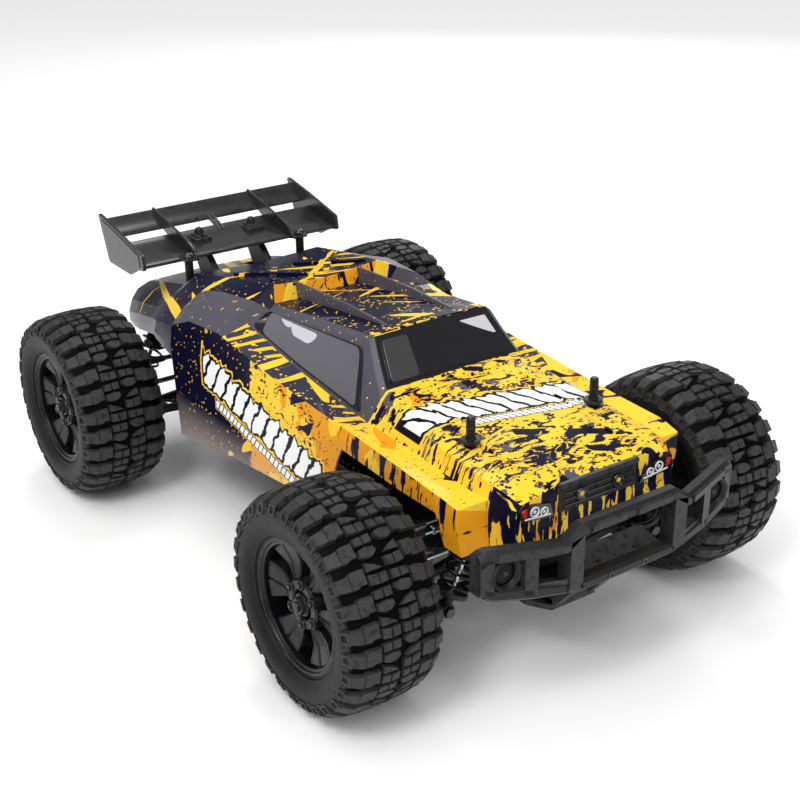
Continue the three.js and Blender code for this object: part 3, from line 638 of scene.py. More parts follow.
def rim_shape():
    s = Shape()
    # barrel with a flat outer ring, an inner step and the bead flange behind
    s.lathe([(24.4, 38.3), (24.9, 37.7), (24.9, 36.4), (23.7, 35.6), (23.7, 34.4), (22.4, 33.8),
             (12, 33.2), (-9, 32.2), (-22, 33.5), (-24.2, 34.5), (-24.2, 38.3), (-22, 38.3),
             (-20.6, 36.8), (20.6, 36.8), (22, 38.3)], 96)
    # flat notched ring on the lip
    for i in range(24):
        t = TAU * i / 24
        if i % 4 == 0:
            continue
        verts = []
        for x in (24.6, 25.1):
            for r, a in ((36.4, -0.10), (37.3, -0.10), (37.3, 0.10), (36.4, 0.10)):
                verts.append((x, r * math.cos(t + a), r * math.sin(t + a)))
        s.put(verts, BOX_FACES)
    # floor of the pockets
    s.lathe([(-9, 32.6), (-5.5, 32.6), (-3.5, 20), (-3.5, 0.01), (-9, 0.01)], 48, 1)
    # six broad spokes, each with a raised middle
    for k in range(6):
        t0 = TAU * k / 6
        sections = []
        for r, wide, top, crest in ((10.5, 3.6, 18.2, 1.4), (15, 4.8, 18.0, 1.3),
                                    (24, 8.6, 17.4, 0.9), (33.8, 12.8, 20.6, 0.2)):
            ring = []
            for a, x in ((-wide, -5), (-wide, top - 1.6), (-wide + 1.0, top), (-1.4, top + crest),
                         (0, top + crest - 0.9), (1.4, top + crest), (wide - 1.0, top), (wide, top - 1.6),
                         (wide, -5)):
                ang = t0 + math.atan2(a, r)
                ring.append((x, r * math.cos(ang), r * math.sin(ang)))
            sections.append(ring)
        s.skin(sections)
    # hub ring, six bosses with bolts, deep centre
    s.lathe([(-5, 14.2), (19.6, 14.2), (20.6, 13.2), (20.6, 9.0), (19.6, 8.2), (13, 8.0),
             (13, 0.01), (-5, 0.01)], 48)
    for k in range(6):
        t = TAU * (k + 0.5) / 6
        y, z = 12.2 * math.cos(t), 12.2 * math.sin(t)
        s.lathe([(6, 3.3), (20.9, 3.3), (21.6, 2.8), (21.6, 2.0), (20.9, 1.9), (20.9, 0.01),
                 (6, 0.01)], 20, 0, "x", (0, y, z))
        s.prism(hexagon(1.5, y, z), 20.5, 22.3)
    # back: stub into the carrier, hexagon drive and inner hub
    s.lathe([(-41.2, 6.6), (-25.2, 6.6), (-25.2, 3.6), (-6, 3.6), (-6, 0.01), (-28.2, 0.01),
             (-28.2, 5.4), (-41.2, 5.4)], 32)
    s.prism(hexagon(8), -22.7, -8)
    for k in range(6):
        t = TAU * k / 6
        sections = []
        for r, x in ((9, -20), (20, -16), (32.4, -14)):
            sections.append([(px, r * math.cos(t) - w * math.sin(t), r * math.sin(t) + w * math.cos(t))
                             for px, w in ((-8, -1.1), (-8, 1.1), (x, 0.8), (x, -0.8))])
        s.skin(sections)
    return s


def nut_shape():
    s = Shape()
    s.lathe([(12.6, 6.6), (20.4, 6.6), (21.0, 6.2), (21.0, 0.01), (12.6, 0.01)], 36)
    s.prism(hexagon(5.2), 20.8, 23.4, 0, "x", 0.96)
    s.lathe([(20, 3.0), (24.4, 3.0), (24.8, 2.5), (24.8, 0.01), (20, 0.01)], 24)
    return s


def placed(name, mesh, mats, e, h, body, nodes, bevel, angle, segments=2):
    """One wheel part: the same mesh at every corner, turned round on the right."""
    o = add_object(name, mesh)
    if not mesh.materials:
        for m in mats:
            mesh.materials.append(m)
        mesh.shade_smooth()
        set_sharp(mesh, 35)
    o.location = at(SIDE[h] * TYRE_MID, END[e] * BASE, AXLE_Z)
    o.rotation_euler = (0, 0, 0 if h == "left" else math.pi)
    soften(o, bevel, angle, segments)
    o.modifiers.new("normals", "WEIGHTED_NORMAL").keep_sharp = True
    bpy.context.view_layer.update()
    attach(o, body)
    if nodes:
        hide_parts(*nodes)


TYRE, WHEEL, NUT = tyre_shape().mesh("tyre"), rim_shape().mesh("rim"), nut_shape().mesh("nut")
for e, h in CORNERS:
    tag, wheel = f"{e}_{h}", f"{e}_{h}_wheel"
    placed(f"{tag}_tyre_v", TYRE, [RUBBER, GROOVE_SHADE], e, h, wheel, [f"{tag}_tyre"], 0.35, 40, 1)
    placed(f"{tag}_rim_v", WHEEL, [RIM, DARK], e, h, wheel, [f"{tag}_rim"], 0.3, 35)
    placed(f"{tag}_nut_v", NUT, [RIM], e, h, wheel, [], 0.4, 35)


# ---- suspension corners ----------------------------------------------------------
def corner(shape, e, h):
    return mapped(shape, lambda v: (SIDE[h] * v[0], END[e] * (BASE + v[1]), v[2]))


ARM_IN, ARM_OUT, LOW_Z, UP_Z = 28, 92, 46, 80     # the arms' hinges
TOP, LOW, ACROSS = (46, 114), (76, 50), 30        # the damper's two eyes
REACH = math.hypot(LOW[0] - TOP[0], LOW[1] - TOP[1])
DIR = ((LOW[0] - TOP[0]) / REACH, (LOW[1] - TOP[1]) / REACH)


def on_shock(s, across=0.0, depth=0.0):
    return (TOP[0] + DIR[0] * s - DIR[1] * across, ACROSS + depth, TOP[1] + DIR[1] * s
            + DIR[0] * across)


def shock_lathe(s, profile, sides=28, mat=0, knurl=0):
    """Turns [along, radius] pairs about the damper's line."""
    n, verts, faces = len(profile), [], []
    for i in range(sides):
        t = TAU * i / sides
        for a, r in profile:
            if knurl and i % 2:
                r -= knurl if r > 6 else 0
            verts.append(on_shock(a, r * math.cos(t), r * math.sin(t)))
    for i in range(sides):
        j = (i + 1) % sides
        faces += [(i * n + k, i * n + (k + 1) % n, j * n + (k + 1) % n, j * n + k)
                  for k in range(n)]
    s.put(verts, faces, mat)


def lower_arm():
    s = Shape()
    # two curved beams with webs, joined at the outer end
    for side in (1, -1):
        sections = []
        for u, w, wide, z0, z1 in ((28, 15.4, 3.6, 42.6, 47.4), (40, 13.4, 2.6, 42.4, 47.2),
                                   (56, 10.8, 2.3, 42.4, 47), (72, 8.4, 2.2, 42.5, 47),
                                   (86, 6.4, 3.0, 42.6, 47)):
            sections.append([(u, side * (w - wide), z0), (u, side * (w + wide), z0),
                             (u, side * (w + wide), z1), (u, side * (w + wide - 1), z1 + 0.6),
                             (u, side * (w - wide + 1), z1 + 0.6), (u, side * (w - wide), z1)])
        s.skin(sections)
    s.block((70, -9, 43.4), (86, 9, 46.2))
    s.block((30, -14, 44.0), (38, 14, 46.0))
    for a, b in (((38, -12.5), (54, 9.6)), ((54, -9.6), (70, 7.2)), ((38, 12.5), (54, -9.6)),
                 ((54, 9.6), (70, -7.2))):
        s.tube([(a[0], a[1], 44.8), (b[0], b[1], 44.8)], [1.3, 1.2], 4)
    s.lathe([(-20, 4.4), (-14.5, 4.4), (-13.8, 3.6), (13.8, 3.6), (14.5, 4.4), (20, 4.4),
             (20, 1.85), (-20, 1.85)], 24, 0, "y", (ARM_IN, 0, LOW_Z))
    # damper lug with its pin
    s.prism([(71.5, 43), (80.5, 43), (80.8, 50.6), (78.4, 54.2), (73.8, 54.2), (71.2, 50.6)],
            19.5, 23.5, 0, "y")
    s.block((70, 11.6, 43), (82, 23.4, 45.8))
    s.lathe([(23, 1.6), (36, 1.6), (36, 0.01), (23, 0.01)], 16, 1, "y", (LOW[0], 0, LOW[1]))
    s.screw((LOW[0], 34.6, LOW[1]), (0, 1, 0), 3.0, 1.5, 1, 1)
    for side in (1, -1):
        s.prism([(84, 42.6), (94, 42.4), (96.2, 44.4), (96.2, 47.4), (94.4, 49.2), (88, 49.2),
                 (84, 47)], side * 6.4, side * 9.8, 0, "y")
    s.lathe([(-10.6, 1.6), (10.6, 1.6), (10.6, 0.01), (-10.6, 0.01)], 16, 1, "y",
            (ARM_OUT, 0, LOW_Z))
    for side in (1, -1):
        s.screw((ARM_OUT, side * 10.4, LOW_Z), (0, side, 0), 2.4, 1.2, 1, 1)
    return s


def upper_arm():
    s = Shape()
    s.tube([(31, 0, UP_Z), (48, 0, UP_Z), (52, 0, UP_Z)], [2.6, 2.4, 2.2], 16, 0)
    s.tube([(68, 0, UP_Z), (72, 0, UP_Z), (89, 0, UP_Z)], [2.2, 2.4, 2.6], 16, 0)
    s.tube([(50, 0, UP_Z), (70, 0, UP_Z)], 1.7, 16, 1)
    s.tube([(58, 0, UP_Z), (62, 0, UP_Z)], 2.9, 6, 1)
    for u, half in ((ARM_IN, 9), (ARM_OUT, 3.8)):
        s.lathe([(-half, 3.8), (half, 3.8), (half, 1.85), (-half, 1.85)], 24, 0, "y", (u, 0, UP_Z))
    s.block((28.5, -7, 78.8), (36, 7, 81.2), 0, 0.9)
    return s


def upright(front):
    s = Shape()
    frame_pts = [(-11, 53), (-9.4, 51.3), (9.4, 51.3), (11, 53), (11, 73), (9.4, 74.6), (-9.4, 74.6),
                 (-11, 73)]
    hole = [(-7.6, 56), (-6, 55), (6, 55), (7.6, 56), (7.6, 71), (6, 72), (-6, 72), (-7.6, 71)]
    verts = [(x, *p) for outline in (frame_pts, hole) for x in (79.5, 83) for p in outline]
    n, faces = len(hole), []
    for i in range(n):
        j = (i + 1) % n
        faces += [(i, j, n + j, n + i), (2 * n + j, 2 * n + i, 3 * n + i, 3 * n + j),
                  (j, i, 2 * n + i, 2 * n + j), (n + i, n + j, 3 * n + j, 3 * n + i)]
    s.put(verts, faces)
    s.block((79.8, -6, 51.3), (88.4, 6, 53.2))
    s.block((88, -6, 49.4), (96.6, 6, 53.2))
    s.block((79.8, -6, 72.8), (88.4, 6, 74.6))
    s.block((88, -6, 73.4), (96.6, 6, 75.9))
    s.lathe([(-5.9, 3.8), (5.9, 3.8), (5.9, 1.85), (-5.9, 1.85)], 24, 0, "y", (ARM_OUT, 0, LOW_Z))
    for side in (1, -1):
        s.prism([(88.5, 74.5), (95.5, 74.5), (95.5, 82), (94, 83.8), (90, 83.8), (88.5, 82)],
                side * 4.3, side * 7.2, 0, "y")
        s.screw((ARM_OUT, side * 7.0, UP_Z), (0, side, 0), 2.2, 1.1, 1, 1)
    s.lathe([(-7.2, 1.6), (7.2, 1.6), (7.2, 0.01), (-7.2, 0.01)], 16, 1, "y", (ARM_OUT, 0, UP_Z))
    if front:
        for z, facing in ((50.0, -1), (75.7, 1)):
            s.screw((ARM_OUT, 0, z), (0, 0, facing), 2.6, 1.1, 1, 1)
    else:
        s.lathe([(86, 9.6), (96.6, 9.6), (98, 8.8), (98, 7.2), (86, 7.2)], 36, 0, "x",
                (0, 0, AXLE_Z))
        for side in (1, -1):
            s.block((80, side * 8, 54), (97, side * 9.6, 73))
            s.block((80, side * 7.8, 55), (88, side * 11, 72))
    return s


def knuckle_shape():
    s = Shape()
    s.lathe([(88, 9.0), (89, 9.6), (97, 9.6), (98, 8.8), (98, 7.2), (88, 7.2)], 40, 0, "x",
            (0, 0, AXLE_Z))
    # two kingpins, each with a shoulder
    for a, b, r in ((50.4, 55.4, 1.85), (53.4, 55.4, 3.6), (71.6, 75.7, 1.85), (71.4, 73.2, 3.6)):
        s.lathe([(a, r), (b, r), (b, 0.01), (a, 0.01)], 20, 0, "z", (ARM_OUT, 0, 0))
    s.prism([(89.5, -8.4), (94.5, -8.4), (94.5, -19.5), (93.6, -21.6), (92, -22.1), (90.4, -21.6),
             (89.5, -19.5)], 66.5, 69.6, 0, "z")
    s.lathe([(69, 1.5), (76.2, 1.5), (76.2, 2.6), (77.4, 2.4), (77.4, 0.01), (69, 0.01)], 16, 1,
            "z", (ARM_OUT, -19.5, 0))
    return s


def tie_rod_shape():
    s = Shape()
    w, z = -18.8, 73
    s.lathe([(-20.6, 3.4), (-17, 3.4), (-17, 1.85), (-20.6, 1.85)], 20, 1, "y", (ARM_IN, 0, z))
    s.lathe([(71, 4.0), (71.8, 4.4), (74.2, 4.4), (75, 4.0), (75, 2.7), (71, 2.7)], 24, 1, "z",
            (ARM_OUT, w, 0))
    s.tube([(30.8, w, z), (40, w, z), (44, w, z)], [2.4, 2.4, 2.0], 16, 1)
    s.tube([(76, w, z), (80, w, z), (88, w, z)], [2.0, 2.4, 2.4], 16, 1)
    s.tube([(43, w, z), (77, w, z)], 1.6, 16, 0)
    s.tube([(54, w, z), (66, w, z)], 2.8, 6, 0)
    return s


def dog_bone():
    s = Shape()
    profile = [(19.6, 0.01), (20.2, 2.2), (22.5, 3.2), (24.6, 2.3), (26.4, 1.8), (87.6, 1.8),
               (89.4, 2.3), (91.5, 3.2), (93.8, 2.2), (94.4, 0.01)]
    s.lathe(profile, 20, 0, "x", (0, 0, AXLE_Z), closed=False)
    for u in (22.5, 91.5):
        s.tube([(u, 0, AXLE_Z - 3.8), (u, 0, AXLE_Z + 3.8)], 0.9, 12)
    return s


def damper_body():
    s = Shape()
    shock_lathe(s, [(3.2, 3.6), (4.2, 4.8), (7, 5.0), (7.6, 6.6), (10.6, 6.8), (11.2, 6.3)]
                + [q for k in range(9) for q in ((16 + 2.4 * k, 6.3), (16.5 + 2.4 * k, 5.9),
                                                 (17.1 + 2.4 * k, 6.3))]
                + [(37, 6.3), (37.6, 6.9), (40, 6.9), (40.6, 5.6), (40.6, 1.9), (12, 1.9)])
    shock_lathe(s, [(11.9, 9.2), (14.3, 9.2), (14.8, 8.4), (14.8, 6.0), (11.9, 6.0)], 48, 0, 0.5)
    s.lathe([(ACROSS - 3.6, 4.4), (ACROSS + 3.6, 4.4), (ACROSS + 3.6, 1.85), (ACROSS - 3.6, 1.85)],
            28, 0, "y", (TOP[0], 0, TOP[1]))
    return s


def damper_rod():
    s = Shape()
    shock_lathe(s, [(20, 1.5), (64, 1.5), (64, 0.01), (20, 0.01)], 20, 1)
    shock_lathe(s, [(59.2, 9.0), (60, 9.3), (62, 9.3), (62.6, 7.4), (63.6, 4.6), (63.6, 1.6),
                    (59.2, 1.6)], 36, 0)
    shock_lathe(s, [(62, 3.0), (67.4, 3.0), (68, 2.4), (68, 0.01), (62, 0.01)], 20, 0)
    s.lathe([(ACROSS - 3.6, 4.2), (ACROSS + 3.6, 4.2), (ACROSS + 3.6, 2.5), (ACROSS - 3.6, 2.5)],
            28, 0, "y", (LOW[0], 0, LOW[1]))
    return s


def coil():
    s, path, turns, steps = Shape(), [], 7.0, 28
    total = int(turns * steps)
    for i in range(total + 1):
        f = i / total
        closed_end = 0.09  # the end coils lie flat on their seats
        rise = 0 if f < closed_end else 1 if f > 1 - closed_end else (
            (f - closed_end) / (1 - 2 * closed_end))
        along = 15.6 + 1.0 * min(f, closed_end) / closed_end + rise * 40.6 \
            + 1.0 * max(0, f - 1 + closed_end) / closed_end
        t = f * turns * TAU
        path.append(on_shock(along, 8.3 * math.cos(t), 8.3 * math.sin(t)))
    s.tube(path, 0.95, 10)
    return s


for e, h in CORNERS:
    tag = f"{e}_{h}"
    up = f"{tag}_c_hub" if e == "front" else f"{tag}_hub_carrier"
    show(f"{tag}_lower_arm_v", corner(lower_arm(), e, h), [BLACK, SCREW], f"{tag}_lower",
         [f"{tag}_lower_arm"], 0.4)
    show(f"{tag}_upper_arm_v", corner(upper_arm(), e, h), [BLACK, STEEL], f"{tag}_upper",
         [f"{tag}_upper_arm"], 0.3)
    show(f"{tag}_upright_v", corner(upright(e == "front"), e, h), [BLACK, SCREW],
         f"{tag}_upright", [up], 0.35)
    show(f"{tag}_drive_shaft_v", corner(dog_bone(), e, h), [STEEL], f"{tag}_axle_shaft",
         [f"{tag}_drive_shaft"], 0.15)
    show(f"{tag}_damper_v", corner(damper_body(), e, h), [BLACK], f"{tag}_damper",
         [f"{tag}_shock_body"], 0.2)
    show(f"{tag}_damper_rod_v", corner(damper_rod(), e, h), [BLACK, STEEL], f"{tag}_damper_rod",
         [f"{tag}_shock_rod"], 0.2)
    spring = show(f"{tag}_spring_v", corner(coil(), e, h), [SPRING], None)
    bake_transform(spring)
    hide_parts(f"{tag}_spring")
    if e == "front":
        show(f"{tag}_knuckle_v", corner(knuckle_shape(), e, h), [BLACK, SCREW],
             f"{tag}_steering_knuckle", [f"{tag}_knuckle"], 0.3)
        show(f"tie_rod_{h}_v", corner(tie_rod_shape(), e, h), [STEEL, BLACK], f"{h}_tie_rod",
             [f"tie_rod_{h}"], 0.2)


# ---- body shell ---------------------------------------------------------------
POST_X, POST_Y = 44, -165.8         # the front body posts
ROD_X, ROD_Y = 45.5, 150.5          # the rods under the wing's front lugs
STRUT_X = 21.5                      # the wing's curved supports
SHELL_WALL, INSIDE = 1.3, 11        # thickness, and the inside's place in PANELS
# Each station: y, then half a section from the top centre out and down to the lower edge.
STATIONS = [
    (-218, (0, 124), (30, 123.6), (52, 119.5), (55, 117), (56, 111), (55, 100), (52, 90)),
    (-212, (0, 125.6), (42, 125.2), (55, 123), (57.5, 117), (58, 111), (57, 100), (54, 88)),
    (-200.5, (0, 127), (47, 126.5), (56, 124.6), (58.5, 117), (59.5, 111), (59.5, 100), (58, 88)),
    (-199.5, (0, 127.1), (47, 126.6), (56, 124.7), (59, 116.6), (78.6, 116.8), (79, 107), (75.6, 88)),
    (-188, (0, 128.3), (48, 127.8), (56.2, 125.6), (59.6, 116.4), (79.6, 119.2), (80, 108), (78, 90)),
    (-184, (0, 128.8), (48.2, 128.2), (56.2, 125.8), (59.8, 116.8), (80, 119.6), (81, 114), (81, 109.5)),
    (-150, (0, 132.4), (49, 131.8), (55.5, 128.6), (60, 118.6), (79.5, 121.4), (80.6, 115), (81, 109)),
    (-112, (0, 136.6), (49.5, 136), (54, 132), (60.4, 120.4), (79.5, 123.8), (81, 117), (81.4, 111)),
    (-98, (0, 138.2), (49, 137.6), (53, 133), (61, 121.2), (79.8, 124.8), (82.2, 118), (82.6, 112.5)),
    (-94, (0, 138.8), (48.5, 138.2), (52.6, 134), (61.2, 121.6), (80, 125), (82.8, 117), (83.2, 104)),
    (-82, (0, 151), (44.6, 150.6), (48.6, 147), (61.4, 122.2), (80.3, 125.6), (83.8, 112), (84.4, 71)),
    (-71.5, (0, 163), (41, 162.4), (44.4, 160), (61.6, 122.8), (80.6, 126.2), (84.4, 110), (85, 69)),
    (-20, (0, 158), (42, 157.4), (45.6, 154.6), (62.4, 130), (81.4, 130), (85.4, 112), (86, 63.5)),
    (38, (0, 151), (42.6, 150.4), (47, 147.4), (63.6, 141.6), (82, 137), (86, 114), (86.5, 57)),
    (42, (0, 158.4), (40.4, 161.6), (56, 154), (72, 146.4), (82.4, 138), (86.2, 114), (86.5, 56.6)),
    (78, (0, 153.4), (44, 155.8), (60, 151), (74, 147), (84.6, 136), (87.4, 114), (87, 50)),
    (98, (0, 150), (46, 152.2), (62, 146), (76, 138.6), (86, 128), (88, 114), (87, 48)),
    (101, (0, 149.6), (46.4, 151.8), (62.4, 145), (76.4, 137), (86.4, 126), (88.4, 112), (87.6, 103.6)),
    (132, (0, 144), (48.9, 146), (63, 137), (75, 128), (83, 119), (85, 112), (84, 106.5)),
    (146, (0, 133), (49, 134), (62, 129.6), (73, 123), (79, 116), (80, 109), (79, 104)),
    (190, (0, 124.6), (49, 124), (60, 120), (68, 113), (71.4, 105), (72, 98), (70, 92)),
    (214, (0, 119), (48, 117.6), (57.6, 113.6), (63, 106.6), (66, 98), (66, 91), (63.4, 86)),
    (217, (0, 117.6), (46, 116), (55.6, 112), (61, 105.6), (64, 98), (64, 91), (61.4, 87)),
]
HOOD_P = paint("paint_hood", "xy", yellow=1.0, splat=0.40, orange=0.08, grey=0.36, angle=62,
               stripes=0.12, pitch=9, fleck=0.3, seed=3,
               scrawl=((-56, 56, -147, -121, -0.2, 11.5), (-30, 52, -157, -150, -0.2, 4)))
NOSE_P = paint("paint_nose", "xz", yellow=1.0, splat=0.16, orange=0.35, grey=0.15, drips=0.66,
               fleck=0.08, seed=9)
FENDER_P = paint("paint_fender", "xy", yellow=1.0, splat=0.16, orange=0.12, grey=0.6, angle=52,
                 stripes=0.26, pitch=13, fleck=0.16, seed=5)
FLANK_P = paint("paint_flank", "yz", yellow=1.0, splat=0.12, orange=1.4, grey=0.1, drips=0.35,
                fleck=0.06, seed=14)
ROOF_P = paint("paint_roof", "xy", yellow=0.0, splat=0.25, orange=0.2, grey=0.3, angle=24,
               slash=0.5, fleck=0.26, seed=21)
BED_P = paint("paint_bed", "xy", yellow=0.0, splat=0.25, orange=0.9, grey=0.15, angle=40,
              slash=0.30, stripes=0.10, pitch=8, fleck=0.2, seed=33)
SIDE_P = paint("paint_side", "yz", yellow=0.55, splat=0.24, orange=0.8, grey=0.3, angle=62,
               stripes=0.16, pitch=10, fleck=0.2, fade=(-4, 80), seed=2,
               scrawl=((-78, 58, 86, 116, 0.2, 12), (-66, 44, 77, 84, 0.2, 4.4)),
               shade=(50, 80, (0.55, 0.47, 0.42)))
GREY_P = paint("paint_grey", "yz", yellow=0.0, splat=0.3, orange=0.3, grey=0.2, base=GREY,
               fleck=0.15, seed=7)
TAIL_P = paint("paint_tail", "xy", yellow=0.0, splat=0.3, orange=0.2, grey=0.2, base=NAVY,
               angle=70, slash=0.35, fleck=0.14, seed=12)
REAR_P = paint("paint_rear", "yz", yellow=0.0, splat=0.2, grey=0.3, base=(0.03, 0.03, 0.06),
               fleck=0.14, shade=(88, 128, (0.5, 0.5, 0.53)), seed=17)
FLAME_P = paint("paint_flame", "xz", yellow=0.7, splat=0.2, orange=1.3, grey=0.2, drips=0.3,
                fleck=0.1, seed=8)
LEDGE_P = paint("paint_ledge", "xy", yellow=0.0, splat=0.3, orange=0.1, grey=0.3, angle=70,
                base=(0.035, 0.035, 0.06), stripes=0.42, pitch=4.5, slash=0.45, fleck=0.3, seed=6)
BROW_P = paint("paint_brow", "xy", yellow=0.62, splat=0.16, orange=0.3, grey=0.1, fleck=0.4,
               angle=10, seed=19)
WEDGE_P = paint("paint_wedge", "yz", yellow=0.45, splat=0.2, orange=0.3, grey=0.1, drips=0.7,
                fleck=0.1, seed=27)
INNER = plastic("shell_inside", (0.01, 0.01, 0.014), 0.35, 0.6, 0.05)
WINDOW = glass("window_grey", (0.13, 0.13, 0.15), 0.14)
SCREEN = glass("window_black", (0.006, 0.006, 0.008), 0.1)
FRAME_P = glass("window_edge", (0.004, 0.004, 0.006), 0.2)
# painted highlight: white glass patches laid on the windows where they catch the light
PAINTED_HIGHLIGHT = glass("glass_painted_highlight", (0.62, 0.62, 0.65), 0.15)
PANELS = [HOOD_P, NOSE_P, FENDER_P, FLANK_P, ROOF_P, BED_P, SIDE_P, GREY_P, TAIL_P, REAR_P,
          FRAME_P, INNER, FLAME_P, LEDGE_P, WEDGE_P]


# For each strip from the top centre outwards, the print it carries up to each station.
STRIPS = [
    ((9, HOOD_P), (11, FRAME_P), (13, ROOF_P), (14, FLAME_P), (17, BED_P), (99, TAIL_P)),
    ((9, HOOD_P), (13, GREY_P), (17, BED_P), (99, TAIL_P)),
    ((2, NOSE_P), (9, HOOD_P), (17, GREY_P), (99, TAIL_P)),
    ((2, WEDGE_P), (9, FENDER_P), (13, LEDGE_P), (17, GREY_P), (99, TAIL_P)),
    ((2, WEDGE_P), (9, FLANK_P), (17, SIDE_P), (99, REAR_P)),
]


def panel_of(station, strip):
    """Where in PANELS the print of one part of the shell is."""
    runs = STRIPS[min(strip, len(STRIPS) - 1)]
    return PANELS.index(next(print_ for end, print_ in runs if station < end))


def section(y):
    """The half section of the shell at any y."""
    for (a, *p), (b, *q) in zip(STATIONS, STATIONS[1:]):
        if a <= y <= b:
            f = (y - a) / (b - a)
            return [tuple(m + (n - m) * f for m, n in zip(i, j)) for i, j in zip(p, q)]
    return STATIONS[0 if y < 0 else -1][1:]


def on_shell(y, k, f, side=1):
    """A point of the shell: f of the way from section point k to the next one."""
    c = section(y)
    g = abs(f) if k == 0 else f
    x, z = (c[k][i] + (c[k + 1][i] - c[k][i]) * g for i in (0, 1))
    return Vector((x * side * (-1 if f < 0 and k == 0 else 1), y, z))


def shell_shape():
    s = Shape()
    ys = sorted({st[0] for st in STATIONS} | {-180, -165, -135, -124, -54, -37, 0, 19, 54, 66, 88,
                                              116, 160, 175, 202})
    cols = [(0, 0.5), (0, 1)] + [(k, 1) for k in range(1, 6)]
    rows = []
    for y in ys:
        half = [on_shell(y, 0, 0)] + [on_shell(y, k, f) for k, f in cols]
        rows.append([tuple(p) for p in half]
                    + [(-p[0], p[1], p[2]) for p in half[1:]])
    n = len(cols)
    verts = [p for r in rows for p in r]
    width = 2 * n + 1
    faces, mats = [], []
    for i in range(len(ys) - 1):
        mid = (ys[i] + ys[i + 1]) / 2
        st = max(j for j, q in enumerate(STATIONS) if q[0] <= mid)
        for side in (0, 1):
            for c in range(n):
                k = cols[c][0]
                a = 0 if c == 0 else (c + side * n)
                b = c + 1 + side * n
                quad = (i * width + a, i * width + b, (i + 1) * width + b, (i + 1) * width + a)
                faces.append(quad if side else quad[::-1])
                mats.append(panel_of(st, k))
    s.verts, s.faces, s.mats = verts, faces, mats
    # the nose and the tail are closed down to their lower edges
    for row, mat in ((0, 1), (len(ys) - 1, 9)):
        base = row * width
        left = [base + c for c in range(1, n + 1)]
        right = [base + c + n for c in range(1, n + 1)]
        loop = [base] + left + right[::-1]
        s.faces.append(tuple(loop if row == 0 else loop[::-1]))
        s.mats.append(mat)
    return s


def shell_object():
    mesh = from_middle(shell_shape()).mesh("body_shell_v")
    o = add_object("body_shell_v", mesh)
    for m in PANELS:
        mesh.materials.append(m)
    mesh.shade_smooth()
    soften(o, 1.5, 11, 3)
    m = o.modifiers.new("wall", "SOLIDIFY")
    m.thickness, m.offset, m.material_offset = SHELL_WALL * MM, -1, INSIDE
    m.use_even_offset = False
    # holes for the posts and the two wing supports
    tool = Shape()
    for side in (1, -1):
        for x, y, r in ((POST_X, POST_Y, 3.6), (ROD_X, ROD_Y, 4.2)):
            tool.lathe([(90, r), (175, r), (175, 0.01), (90, 0.01)], 24, INSIDE, "z",
                       (side * x, y, 0))
        tool.block((side * STRUT_X - 4.6, 141, 108), (side * STRUT_X + 4.6, 189, 170), INSIDE)
    cutter = add_object("cutter", from_middle(tool).mesh("cutter"))
    m = o.modifiers.new("holes", "BOOLEAN")
    m.object, m.operation, m.solver = cutter, "DIFFERENCE", "EXACT"
    dg = bpy.context.evaluated_depsgraph_get()
    whole = bpy.data.meshes.new_from_object(o.evaluated_get(dg))
    o.modifiers.clear()
    o.data = whole
    bpy.data.objects.remove(cutter)
    o.modifiers.new("normals", "WEIGHTED_NORMAL").keep_sharp = True
    set_sharp(whole, 50)
    whole.shade_smooth()
    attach(o, "chassis")
    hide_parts("body_shell")


def patch(name, point, rows, cols, tall, wide, lift, mats, r, bevel=0.3):
    """A thin panel lying on the shell. point(t, s) gives the shell's surface, t up and s along."""
    sink, e = 0.6, 1e-3     # depth under the surface in mm, and the step for its slope

    def eased(i, n):
        return (1 - math.cos(math.pi * (i / n))) / 2

    grid = []
    for i in range(rows + 1):
        t = eased(i, rows)
        edge = min(t, 1 - t) * tall
        inset = (r - math.sqrt(max(0, r * r - (r - edge) ** 2))) / wide if edge < r else 0
        grid.append([(t, inset + (1 - 2 * inset) * eased(j, cols)) for j in range(cols + 1)])
    s = Shape()
    verts = []
    for shift in (lift, -sink):
        for row in grid:
            for t, q in row:
                p = point(t, q)
                du = point(min(1, t + e), q) - point(max(0, t - e), q)
                dv = point(t, min(1, q + e)) - point(t, max(0, q - e))
                n = du.cross(dv).normalized()
                if n.dot(Vector((p.x, 0, p.z - 95)).normalized()) < 0 and abs(n.y) < 0.9:
                    n = -n
                if abs(n.y) >= 0.9 and n.y * p.y < 0:
                    n = -n
                verts.append(tuple(p + n * shift))
    w, h = cols + 1, rows + 1
    faces = []
    for b in (0, w * h):
        faces += [(b + i * w + j, b + i * w + j + 1, b + (i + 1) * w + j + 1, b + (i + 1) * w + j)
                  for i in range(rows) for j in range(cols)]
    rim = ([j for j in range(cols)] + [i * w + cols for i in range(rows)]
           + [rows * w + j for j in range(cols, 0, -1)] + [i * w for i in range(rows, 0, -1)])
    faces += [(a, b, b + w * h, a + w * h) for a, b in zip(rim, rim[1:] + rim[:1])]
    s.put(verts, faces)
    show(name, s, mats, "chassis", (), bevel, 50)


def lerp(a, b, t):
    return a + (b - a) * t


def strip(k, low, high, f0, f1, side):
    """point(t, s) on strip k: t from f0 to f1, s between the two y ranges."""
    def point(t, q):
        y = lerp(lerp(low[0], high[0], t), lerp(low[1], high[1], t), q)
        return on_shell(y, k, lerp(f0, f1, t), side)
    return point


